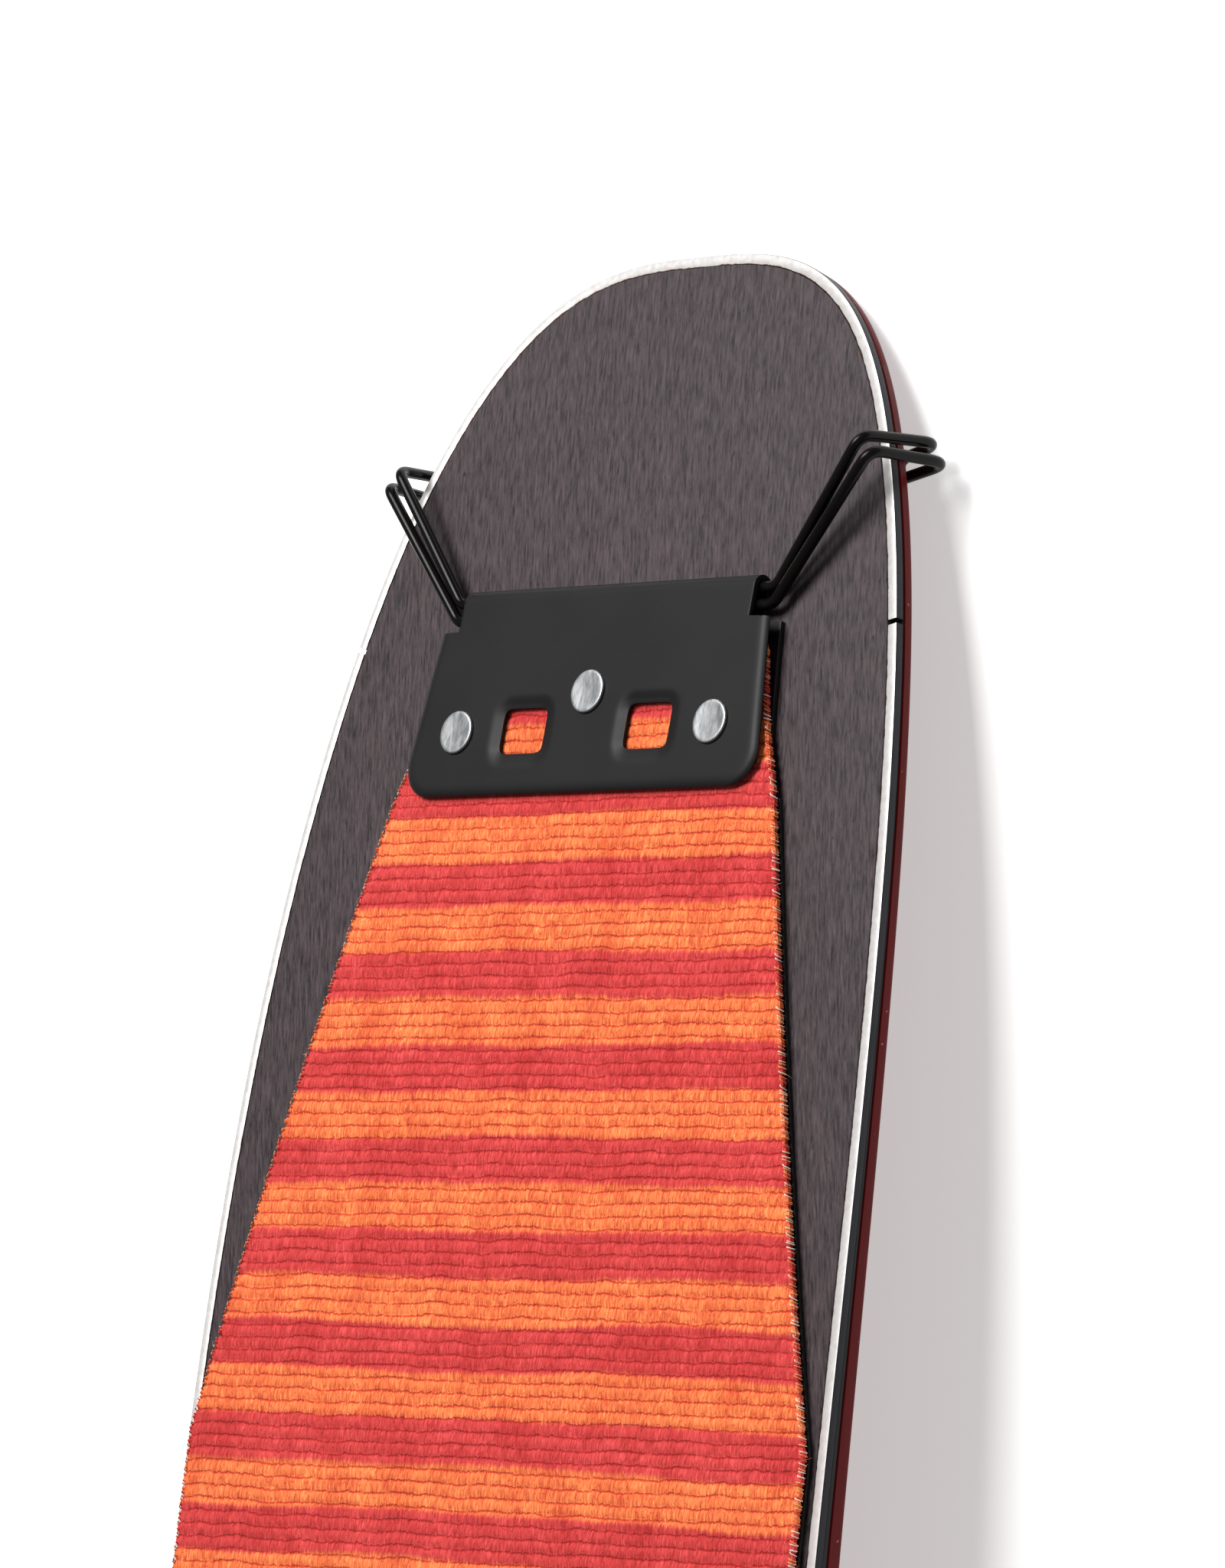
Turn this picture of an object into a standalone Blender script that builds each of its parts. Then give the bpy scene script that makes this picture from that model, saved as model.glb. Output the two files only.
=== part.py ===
"""One half of a splitboard, walking on its climbing skin, stored with its running base up.

Units are metres and +Z is up. The nose points along +Y. The origin is on the floor, under the
middle of the plank. A station is a distance along the plank from the nose tip, and a depth is a
distance below the running base, so a height above the base is a negative depth.
"""

import math

import bmesh
import bpy
import numpy as np
from mathutils import Matrix, Vector

# ---------------------------------------------------------------- plank outline
LENGTH = 1.640
NOSE_LENGTH = 0.259
NOSE_HALF_WIDTH = 0.0770
NOSE_POWER = 3.0
WAIST_STATION = 0.840
WAIST_HALF_WIDTH = 0.0600
TAIL_LENGTH = 0.190
TAIL_HALF_WIDTH = 0.0730
TAIL_POWER = 4.0
NOSE_ROWS = 20
TAIL_ROWS = 9
CURVED_STEP = 0.024
FLAT_STEP = 0.085
FIRST_ROW_ANGLE = math.radians(1.5)

# ---------------------------------------------------------------- rocker
NOSE_ROCKER_START = 0.350
NOSE_ROCKER_RADIUS = 1.520
TIP_ARC = 0.055
TIP_RADIUS = 0.680
TAIL_ROCKER_LENGTH = 0.300

# ---------------------------------------------------------------- layers
TIP_THICKNESS = 0.0042
MIDDLE_THICKNESS = 0.0078
THIN_END = 0.070
THICK_START = 0.380
LAMINATION_GAP = 0.0001
BASE_THICKNESS = 0.0012
EDGE_WIDTH = 0.0020
EDGE_HEIGHT = 0.0015
EDGE_JOINT_STATION = 0.0685
EDGE_JOINT_GAP = 0.0009
CAP_SHARE = 0.46
CAP_TOP = 0.0005
SIDEWALL_WIDTH = 0.0049
LAMINATE_THICKNESS = 0.0004
END_BLOCK_LENGTH = 0.030
BLOCK_GAP = 0.0003
NOTCH_WIDTH = 0.034
NOTCH_DEPTH = 0.016
NOTCH_CORNER = 0.004

# ---------------------------------------------------------------- climbing skin
SKIN_START = 0.072
SKIN_START_HALF_WIDTH = 0.0394
SKIN_TAPER = 0.2553
SKIN_EDGE_MARGIN = 0.0010
SKIN_TAIL_MARGIN = 0.034
SKIN_BACKING_START = 0.0985
SKIN_BACKING = 0.0012
SKIN_PLUSH = 0.0014
TOUCH_GAP = 0.0003

# ---------------------------------------------------------------- tip plate and wire loops
PLATE_SHEET = 0.0009
WIRE_RADIUS = 0.0010
WIRE_SPACE = 0.0011
SLEEVE_CLEARANCE = 0.0005
SLEEVE_ROOM = 0.0003
PLATE_HEIGHT = LAMINATION_GAP + 2 * PLATE_SHEET + 2 * WIRE_RADIUS + SLEEVE_CLEARANCE
PLATE_START = 0.0602
PLATE_END = 0.0970
PLATE_TOP_HALF_WIDTH = 0.0384
PLATE_BOTTOM_HALF_WIDTH = 0.0430
PLATE_CORNER = 0.0070
SLEEVE_HALF_WIDTH = 0.0350
SLEEVE_LENGTH = PLATE_SHEET + 4 * WIRE_RADIUS + WIRE_SPACE + SLEEVE_ROOM + 0.0013
RIVET_SPAN = 0.0306
RIVET_STATION = 0.0859
MIDDLE_RIVET_STATION = 0.0797
RIVET_HEAD_RADIUS = 0.0038
RIVET_HEAD_HEIGHT = 0.0005
RIVET_SHANK_RADIUS = 0.0018
WINDOW_OFFSET = 0.0150
WINDOW_WIDTH = 0.0105
WINDOW_LENGTH = 0.0080
WIRE_INNER_END = 0.0030
WIRE_BEND = 0.0030

# ---------------------------------------------------------------- tail kit of the skin
STRAP_WIDTH = 0.020
STRAP_THICKNESS = 0.0016
BUCKLE_LENGTH = 0.024
BUCKLE_WALL = 0.0018
BUCKLE_HEIGHT = 0.0080
BUCKLE_BASE = 0.0012
BUCKLE_BACK = 0.052
HOOK_WIDTH = 0.018
HOOK_SHEET = 0.0015
HOOK_LIP = 0.010
HOOK_FLANGE = 0.006
HOOK_LIP_GAP = 0.0009
HOOK_NOTCH_GAP = 0.0015
STRAP_FREE_END = 0.020
CAM_PIN_RADIUS = 0.0012
CAM_PIN_LIFT = 0.0026
STRAP_LIFT = 0.0009
TAIL_RIVET_INSET = 0.0040
TAIL_RIVET_SETBACK = 0.0060
TAIL_RIVET_HEAD = 0.0030

# ---------------------------------------------------------------- topside hardware
BRACKET_STATION = 0.760
BRACKET_WIDTH = 0.072
BRACKET_LENGTH = 0.046
BRACKET_BASE = 0.0035
BRACKET_WALL = 0.0040
BRACKET_EAR = 0.0240
BRACKET_SCREW_X = 0.0200
BRACKET_SCREW_Y = 0.0140
PIN_RADIUS = 0.0038
PIN_HEIGHT = 0.0170
PIN_HANDLE = 0.0070
HEEL_STATION = 1.010
HEEL_WIDTH = 0.064
HEEL_LENGTH = 0.050
HEEL_HEIGHT = 0.0180
BAIL_RADIUS = 0.0022
BAIL_REACH = 0.052
BAIL_HEIGHT = 0.0090
PUCK_STATIONS = (0.555, 1.105)
PUCK_WIDTH = 0.056
PUCK_LENGTH = 0.090
PUCK_HEIGHT = 0.0120
PUCK_OFFSET = -0.046
PUCK_LEDGE = 0.0055
PUCK_FLANGE = 0.0060
PUCK_CHAMFER = 0.0020
PUCK_SCREW_SINK = 0.0040
PUCK_SCREWS = ((-0.015, -0.024), (-0.015, 0.024), (0.013, 0.0))
CLIP_STATIONS = (0.150, 0.445, 1.215, 1.505)
CLIP_NAMES = ("nose", "front", "rear", "tail")
CLIP_EDGE_INSET = 0.014
CLIP_LENGTH = 0.048
CLIP_WIDTH = 0.015
CLIP_THROAT_END = 0.010
CLIP_SHEET = 0.0020
STUD_RADIUS = 0.0035
STUD_FLANGE = 0.0070
SCREW_SHANK = 0.0025
SCREW_HEAD = 0.0048
SCREW_HEAD_HEIGHT = 0.0024
BORE_CLEARANCE = 0.0004
SHANK_TOP_DEPTH = 0.0036

COLLECTION = "splitboard_half"
CUTTERS = "cutters"


# ---------------------------------------------------------------- scene and materials
def clear_scene():
    for old in list(bpy.data.objects):
        bpy.data.objects.remove(old, do_unlink=True)


def new_collection(name):
    collection = bpy.data.collections.new(name)
    bpy.context.scene.collection.children.link(collection)
    return collection


def material(name, colour, roughness, metallic=0.0):
    finish = bpy.data.materials.new(name)
    finish.use_nodes = True
    shader = finish.node_tree.nodes["Principled BSDF"]
    shader.inputs["Base Color"].default_value = (*colour, 1.0)
    shader.inputs["Roughness"].default_value = roughness
    shader.inputs["Metallic"].default_value = metallic
    return finish


def make_materials():
    return {
        "base": material("sintered_base", (0.030, 0.028, 0.030), 0.45),
        "edge": material("steel_edge", (0.80, 0.80, 0.80), 0.30, 1.0),
        "sidewall": material("sidewall_plastic", (0.020, 0.020, 0.022), 0.50),
        "topsheet": material("topsheet_lacquer", (0.070, 0.004, 0.005), 0.30),
        "laminate": material("glass_laminate", (0.45, 0.46, 0.36), 0.60),
        "wood": material("core_wood", (0.50, 0.33, 0.17), 0.70),
        "plush": material("skin_plush", (0.90, 0.20, 0.07), 0.90),
        "backing": material("skin_backing", (0.010, 0.010, 0.010), 0.70),
        "black_metal": material("black_metal", (0.012, 0.012, 0.013), 0.45, 1.0),
        "aluminium": material("satin_aluminium", (0.62, 0.62, 0.62), 0.40, 1.0),
        "steel": material("stainless_steel", (0.55, 0.55, 0.56), 0.30, 1.0),
        "plastic": material("black_plastic", (0.018, 0.018, 0.019), 0.50),
        "webbing": material("strap_webbing", (0.020, 0.020, 0.020), 0.90),
    }


def finish(obj, look, collection):
    """Puts the object in its collection with one material, flat faces staying sharp."""
    for old in list(obj.users_collection):
        old.objects.unlink(obj)
    collection.objects.link(obj)
    obj.data.materials.clear()
    obj.data.materials.append(look)
    obj.data.shade_smooth()
    obj.data.set_sharp_from_angle(angle=math.radians(30))
    return obj


def object_from_bmesh(name, shape):
    bmesh.ops.recalc_face_normals(shape, faces=shape.faces)
    mesh = bpy.data.meshes.new(name)
    shape.to_mesh(mesh)
    shape.free()
    obj = bpy.data.objects.new(name, mesh)
    bpy.context.scene.collection.objects.link(obj)
    return obj


# ---------------------------------------------------------------- plank formulas
def superellipse(distance, length, half_width, power):
    """Half width of a rounded end, at a distance from its tip."""
    share = np.clip((length - distance) / length, 0.0, 1.0)
    return half_width * (1.0 - share**power) ** (1.0 / power)


def half_width(station, side):
    """Distance from the middle line to the outer side (+1), or to the straight inner side (-1)."""
    station = np.asarray(station, float)
    tail_width = TAIL_HALF_WIDTH if side > 0 else NOSE_HALF_WIDTH
    waist_width = WAIST_HALF_WIDTH if side > 0 else NOSE_HALF_WIDTH
    to_waist = (station - NOSE_LENGTH) / (WAIST_STATION - NOSE_LENGTH)
    from_waist = (LENGTH - TAIL_LENGTH - station) / (LENGTH - TAIL_LENGTH - WAIST_STATION)
    fore = station < WAIST_STATION
    wide = np.where(fore, NOSE_HALF_WIDTH, tail_width)
    turn = np.clip(np.where(fore, to_waist, from_waist), 0.0, 1.0)
    middle = waist_width + (wide - waist_width) * (0.5 + 0.5 * np.cos(np.pi * turn))
    nose = superellipse(station, NOSE_LENGTH, NOSE_HALF_WIDTH, NOSE_POWER)
    tail = superellipse(LENGTH - station, TAIL_LENGTH, tail_width, TAIL_POWER)
    ends = np.where(station < NOSE_LENGTH, nose, middle)
    return np.where(station > LENGTH - TAIL_LENGTH, tail, ends)


def thickness(station):
    """Whole plank, base to topsheet: thin at both ends, with a smooth step up to the middle."""
    from_end = np.minimum(station, LENGTH - np.asarray(station, float))
    rise = np.clip((from_end - THIN_END) / (THICK_START - THIN_END), 0.0, 1.0)
    return TIP_THICKNESS + (MIDDLE_THICKNESS - TIP_THICKNESS) * rise * rise * (3.0 - 2.0 * rise)


def cap_depth(station):
    """Depth where the topsheet's turned-down side begins."""
    return CAP_SHARE * thickness(station)


def nose_arc(forward):
    """Forward reach, drop and angle of the base, a distance ahead of where the nose leaves flat."""
    first = NOSE_ROCKER_START - TIP_ARC
    angle_1 = min(forward, first) / NOSE_ROCKER_RADIUS
    angle_2 = angle_1 + max(forward - first, 0.0) / TIP_RADIUS
    reach = NOSE_ROCKER_RADIUS * math.sin(angle_1)
    reach += TIP_RADIUS * (math.sin(angle_2) - math.sin(angle_1))
    drop = NOSE_ROCKER_RADIUS * (1.0 - math.cos(angle_1))
    drop += TIP_RADIUS * (math.cos(angle_1) - math.cos(angle_2))
    return reach, drop, angle_2


NOSE_REACH, NOSE_DROP, NOSE_ANGLE = nose_arc(NOSE_ROCKER_START)
TAIL_ROCKER_RADIUS = TAIL_ROCKER_LENGTH**2 / (2.0 * NOSE_DROP) + NOSE_DROP / 6.0
TAIL_REACH = TAIL_ROCKER_RADIUS * math.sin(TAIL_ROCKER_LENGTH / TAIL_ROCKER_RADIUS)
FLAT_LENGTH = LENGTH - NOSE_ROCKER_START - TAIL_ROCKER_LENGTH
BASE_HEIGHT = NOSE_DROP + TIP_THICKNESS * math.cos(NOSE_ANGLE)
FLAT_FRONT = (FLAT_LENGTH + TAIL_REACH - NOSE_REACH) / 2.0


def spine(station):
    """Y, Z and slope of the base at a station. The slope is positive where the nose falls away."""
    if station < NOSE_ROCKER_START:
        reach, drop, angle = nose_arc(NOSE_ROCKER_START - station)
        return FLAT_FRONT + reach, BASE_HEIGHT - drop, angle
    flat = min(station - NOSE_ROCKER_START, FLAT_LENGTH)
    angle = max(station - NOSE_ROCKER_START - FLAT_LENGTH, 0.0) / TAIL_ROCKER_RADIUS
    reach = flat + TAIL_ROCKER_RADIUS * math.sin(angle)
    drop = TAIL_ROCKER_RADIUS * (1.0 - math.cos(angle))
    return FLAT_FRONT - reach, BASE_HEIGHT - drop, -angle


def place(x, station, depth):
    """World point of a place on the plank."""
    y, z, angle = spine(float(station))
    return Vector((x, y - depth * math.sin(angle), z - depth * math.cos(angle)))


def seat(x, station, depth):
    """Matrix of a piece set on the plank: +Y to the nose, +Z out of the running base."""
    angle = spine(float(station))[2]
    return Matrix.Translation(place(x, station, depth)) @ Matrix.Rotation(-angle, 4, "X")


def row_stations():
    """Stations of the rows: even turns round each end, then no step longer than its stretch allows."""
    nose_turn = np.linspace(FIRST_ROW_ANGLE, math.pi / 2, NOSE_ROWS + 1)
    tail_turn = np.linspace(math.pi / 2, FIRST_ROW_ANGLE, TAIL_ROWS + 1)
    nose = NOSE_LENGTH * (1.0 - np.cos(nose_turn) ** (2.0 / NOSE_POWER))
    tail = LENGTH - TAIL_LENGTH * (1.0 - np.cos(tail_turn) ** (2.0 / TAIL_POWER))
    flat = (NOSE_ROCKER_START, LENGTH - TAIL_ROCKER_LENGTH)
    marks = np.concatenate([nose, flat, tail])
    stations = [marks[:1]]
    for start, end in zip(marks, marks[1:]):
        longest = FLAT_STEP if start >= flat[0] and end <= flat[1] else CURVED_STEP
        pieces = math.ceil((end - start) / longest)
        stations.append(np.linspace(start, end, pieces + 1)[1:])
    return np.concatenate(stations)


STATIONS = row_stations()


def side_line(side, inset):
    """Points (x, station) of one side's outline, moved in by the inset."""
    step = 1e-6
    after = half_width(STATIONS + step, side)
    before = half_width(STATIONS - step, side)
    slope = (after - before) / (2.0 * step)
    size = np.sqrt(1.0 + slope**2)
    x = half_width(STATIONS, side) - inset / size
    return side * x, STATIONS + inset * slope / size


def rows(inset, start=0.0, end=LENGTH):
    """Rows (station, inner x, outer x) across the plank, inside the inset outline."""
    inner_x, inner_s = side_line(-1, inset)
    outer_x, outer_s = side_line(1, inset)
    first, last = max(start, inner_s[0]), min(end, inner_s[-1])
    inside = inner_s[(inner_s > first + 1e-4) & (inner_s < last - 1e-4)]
    stations = np.concatenate([[first], inside, [last]])
    inner = np.interp(stations, inner_s, inner_x)
    outer = np.interp(stations, outer_s, outer_x)
    return np.column_stack([stations, inner, outer])


def ribbon(name, count, corner):
    """Closed solid of a strip: corner(i, across, down) places the corners of each row."""
    shape = bmesh.new()
    bmesh.ops.create_grid(shape, x_segments=1, y_segments=count - 1, size=0.5)
    grown = bmesh.ops.extrude_face_region(shape, geom=shape.faces[:])
    lower = {item for item in grown["geom"] if isinstance(item, bmesh.types.BMVert)}
    for vertex in shape.verts:
        row = round((vertex.co.y + 0.5) * (count - 1))
        vertex.co = corner(row, int(vertex.co.x > 0.0), int(vertex in lower))
    return object_from_bmesh(name, shape)


def slab(name, lines, top, bottom):
    """A layer of the plank between two depths, which are functions of the station."""

    def corner(row, across, down):
        station = lines[row][0]
        depth = (bottom if down else top)(station)
        return place(lines[row][1 + across], station, depth)

    return ribbon(name, len(lines), corner)


def rim(name, outer_line, inner_line, top, bottom):
    """A strip that follows the outline between two insets and two depths."""

    def corner(row, across, down):
        x, station = (inner_line if across else outer_line)[row]
        return place(x, station, (bottom if down else top)(station))

    return ribbon(name, len(outer_line), corner)


def outline_run(side, inset, start, end):
    """Points of one side's outline between two stations of the outline itself."""
    x, station = side_line(side, inset)
    inside = STATIONS[(STATIONS > start + 1e-4) & (STATIONS < end - 1e-4)]
    at = np.concatenate([[start], inside, [end]])
    return list(zip(np.interp(at, STATIONS, x), np.interp(at, STATIONS, station)))


# ---------------------------------------------------------------- solids from curves and profiles
def mesh_from_curve(obj):
    """Makes the curve object a mesh object of the same name, with its caps welded."""
    graph = bpy.context.evaluated_depsgraph_get()
    mesh = bpy.data.meshes.new_from_object(obj.evaluated_get(graph))
    shape = bmesh.new()
    shape.from_mesh(mesh)
    bmesh.ops.remove_doubles(shape, verts=shape.verts, dist=1e-6)
    name = obj.name
    bpy.data.objects.remove(obj, do_unlink=True)
    bpy.data.meshes.remove(mesh)
    return object_from_bmesh(name, shape)


def flat_outline(name, loops, depth):
    """Flat solid of a 2D outline with its holes, centred on the XY plane."""
    curve = bpy.data.curves.new(name, "CURVE")
    curve.dimensions = "2D"
    curve.fill_mode = "BOTH"
    curve.extrude = depth / 2.0
    for loop in loops:
        spline = curve.splines.new("POLY")
        spline.points.add(len(loop) - 1)
        for point, (a, b) in zip(spline.points, loop):
            point.co = (a, b, 0.0, 1.0)
        spline.use_cyclic_u = True
    obj = bpy.data.objects.new(name, curve)
    bpy.context.scene.collection.objects.link(obj)
    return mesh_from_curve(obj)


def across(name, profile, width):
    """Solid of a profile in the YZ plane, carried across the plank along X."""
    obj = flat_outline(name, [profile], width)
    obj.data.transform(Matrix(((0, 0, 1, 0), (1, 0, 0, 0), (0, 1, 0, 0), (0, 0, 0, 1))))
    return obj


def along(name, profile, length):
    """Solid of a profile in the XZ plane, carried along the plank."""
    obj = flat_outline(name, [profile], length)
    obj.data.transform(Matrix.Rotation(math.pi / 2, 4, "X"))
    return obj


def wire(name, points, radius):
    """Round wire along the points, with closed ends."""
    curve = bpy.data.curves.new(name, "CURVE")
    curve.dimensions = "3D"
    curve.bevel_depth = radius
    curve.bevel_resolution = 2
    curve.use_fill_caps = True
    spline = curve.splines.new("POLY")
    spline.points.add(len(points) - 1)
    for point, place_at in zip(spline.points, points):
        point.co = (*place_at, 1.0)
    obj = bpy.data.objects.new(name, curve)
    bpy.context.scene.collection.objects.link(obj)
    return mesh_from_curve(obj)


def turned(name, profile, steps=10):
    """Solid of revolution about Z. The profile runs from the top of the axis to its bottom."""
    shape = bmesh.new()
    points = [shape.verts.new((radius, 0.0, z)) for radius, z in profile]
    edges = [shape.edges.new(pair) for pair in zip(points, points[1:])]
    bmesh.ops.spin(
        shape, geom=points + edges, cent=(0, 0, 0), axis=(0, 0, 1), angle=2 * math.pi,
        steps=steps, use_merge=True,
    )
    bmesh.ops.remove_doubles(shape, verts=shape.verts, dist=1e-6)
    return object_from_bmesh(name, shape)


def rounded_path(points, radius, steps=3):
    """The corner points of a bent wire, with each corner turned on an arc."""
    path = [Vector(points[0])]
    for before, corner, after in zip(points, points[1:], points[2:]):
        corner = Vector(corner)
        back, ahead = Vector(before) - corner, Vector(after) - corner
        half = back.angle(ahead) / 2.0
        reach = min(radius / math.tan(half), back.length * 0.49, ahead.length * 0.49)
        start, end = corner + back.normalized() * reach, corner + ahead.normalized() * reach
        for step in range(steps + 1):
            turn = step / steps
            bend = start.lerp(corner, turn).lerp(corner.lerp(end, turn), turn)
            path.append(bend)
    path.append(Vector(points[-1]))
    return path


def rod(length, radius, centre, axis, steps=10):
    """A plain cylinder, used as a cutter or a pin, as a bmesh."""
    shape = bmesh.new()
    turn = {"X": Matrix.Rotation(math.pi / 2, 4, "Y"), "Z": Matrix.Identity(4)}[axis]
    bmesh.ops.create_cone(
        shape, cap_ends=True, segments=steps, radius1=radius, radius2=radius, depth=length,
        matrix=Matrix.Translation(centre) @ turn,
    )
    return shape


def box(name, low, high, bevel=0.0):
    """A box between two corners, with its upright corners rounded where a bevel is given."""
    shape = bmesh.new()
    size = [b - a for a, b in zip(low, high)]
    middle = [(a + b) / 2 for a, b in zip(low, high)]
    place_it = Matrix.Translation(middle) @ Matrix.Diagonal((*size, 1.0))
    bmesh.ops.create_cube(shape, size=1.0, matrix=place_it)
    if bevel:
        upright = [e for e in shape.edges if abs(e.verts[0].co.z - e.verts[1].co.z) > 1e-6]
        bmesh.ops.bevel(
            shape, geom=upright, offset=bevel, segments=3, profile=0.5, affect="EDGES"
        )
    return object_from_bmesh(name, shape)


class Workshop:
    """Keeps the collections and the materials, and does the cutting."""

    def __init__(self):
        clear_scene()
        self.parts = new_collection(COLLECTION)
        self.helpers = new_collection(CUTTERS)
        self.looks = make_materials()

    def add(self, obj, look):
        return finish(obj, self.looks[look], self.parts)

    def cutter(self, obj):
        for old in list(obj.users_collection):
            old.objects.unlink(obj)
        self.helpers.objects.link(obj)
        obj.hide_render = True
        obj.display_type = "WIRE"
        return obj

    def cut(self, obj, tool):
        modifier = obj.modifiers.new("cut_" + tool.name, "BOOLEAN")
        modifier.operation = "DIFFERENCE"
        modifier.solver = "EXACT"
        modifier.object = tool


# ---------------------------------------------------------------- the plank
def make_plank(shop):
    """Base, steel edges, sidewalls, core, laminates and the topsheet with its turned-down side."""
    notch_side = NOTCH_WIDTH / 2 + LAMINATION_GAP
    edge_end = LENGTH - TAIL_LENGTH * (
        1.0 - (1.0 - (notch_side / NOSE_HALF_WIDTH) ** TAIL_POWER) ** (1.0 / TAIL_POWER)
    )
    inner_inset = SIDEWALL_WIDTH + 2 * LAMINATION_GAP
    base_bottom = BASE_THICKNESS
    lower_top = base_bottom + LAMINATION_GAP
    lower_bottom = lower_top + LAMINATE_THICKNESS
    core_top = lower_bottom + LAMINATION_GAP

    def upper_bottom(station):
        return thickness(station) - CAP_TOP - LAMINATION_GAP

    def upper_top(station):
        return upper_bottom(station) - LAMINATE_THICKNESS

    def core_bottom(station):
        return upper_top(station) - LAMINATION_GAP

    notch = shop.cutter(
        box(
            "tail_notch",
            (-NOTCH_WIDTH / 2, -0.020, -0.030),
            (NOTCH_WIDTH / 2, NOTCH_DEPTH, 0.030),
            NOTCH_CORNER,
        )
    )
    notch.matrix_world = seat(0.0, LENGTH, 0.0)

    base = slab("base_sheet", rows(EDGE_WIDTH + LAMINATION_GAP), lambda s: 0.0, lambda s: base_bottom)
    shop.cut(shop.add(base, "base"), notch)

    lower = slab("lower_laminate", rows(inner_inset), lambda s: lower_top, lambda s: lower_bottom)
    shop.cut(shop.add(lower, "laminate"), notch)

    tail_block_start = LENGTH - END_BLOCK_LENGTH
    blocks = (
        ("nose_block", 0.0, END_BLOCK_LENGTH - BLOCK_GAP, "plastic"),
        ("wood_core", END_BLOCK_LENGTH, tail_block_start, "wood"),
        ("tail_block", tail_block_start + BLOCK_GAP, LENGTH, "plastic"),
    )
    made = {}
    for name, start, end, look in blocks:
        piece = slab(name, rows(inner_inset, start, end), lambda s: core_top, core_bottom)
        made[name] = shop.add(piece, look)
    shop.cut(made["tail_block"], notch)

    upper = shop.add(slab("upper_laminate", rows(inner_inset), upper_top, upper_bottom), "laminate")
    shop.cut(upper, notch)

    topsheet = shop.add(slab("topsheet", rows(0.0), cap_depth, thickness), "topsheet")
    cavity = slab(
        "topsheet_cavity",
        rows(SIDEWALL_WIDTH + LAMINATION_GAP),
        lambda s: 0.0,
        lambda s: thickness(s) - CAP_TOP,
    )
    shop.cut(topsheet, shop.cutter(cavity))
    shop.cut(topsheet, notch)

    joint_before = EDGE_JOINT_STATION - EDGE_JOINT_GAP / 2
    joint_after = EDGE_JOINT_STATION + EDGE_JOINT_GAP / 2
    first_station = STATIONS[0]

    def full_turn(inset):
        right = outline_run(1, inset, first_station, joint_before)
        left = outline_run(-1, inset, first_station, joint_before)
        return left[::-1] + right

    nose_edge = rim(
        "nose_edge", full_turn(0.0), full_turn(EDGE_WIDTH), lambda s: 0.0, lambda s: EDGE_HEIGHT
    )
    shop.add(nose_edge, "edge")
    for side, word in ((-1, "inner"), (1, "outer")):
        edge = rim(
            f"{word}_edge",
            outline_run(side, 0.0, joint_after, edge_end),
            outline_run(side, EDGE_WIDTH, joint_after, edge_end),
            lambda s: 0.0,
            lambda s: EDGE_HEIGHT,
        )
        shop.add(edge, "edge")
        wall = rim(
            f"{word}_sidewall",
            outline_run(side, LAMINATION_GAP / 2, first_station, edge_end),
            outline_run(side, SIDEWALL_WIDTH, first_station, edge_end),
            lambda s: EDGE_HEIGHT + LAMINATION_GAP,
            lambda s: cap_depth(s) - LAMINATION_GAP,
        )
        shop.add(wall, "sidewall")
    return topsheet, upper, made["wood_core"]


# ---------------------------------------------------------------- the climbing skin
def skin_half_width(station, side):
    tapered = SKIN_START_HALF_WIDTH + SKIN_TAPER * (station - SKIN_START)
    room = half_width(station, side) - EDGE_WIDTH - SKIN_EDGE_MARGIN
    return min(tapered, float(room))


def skin_rows(start):
    """Rows of the skin, with one at the station where it stops tapering."""
    end = LENGTH - SKIN_TAIL_MARGIN
    tries = np.linspace(start, NOSE_LENGTH, 400)
    free = [s for s in tries if skin_half_width(s, 1) < half_width(s, 1) - EDGE_WIDTH - SKIN_EDGE_MARGIN]
    turn = free[-1]
    known = STATIONS[(STATIONS > turn + 0.004) & (STATIONS < end - 0.004)]
    stations = np.concatenate([[start], np.linspace(start, turn, 5)[1:], known, [end]])
    return [(s, -skin_half_width(s, -1), skin_half_width(s, 1)) for s in stations]


def plush_bottom():
    return -(LAMINATION_GAP + SKIN_BACKING + LAMINATION_GAP)


def skin_top():
    return plush_bottom() - SKIN_PLUSH


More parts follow.
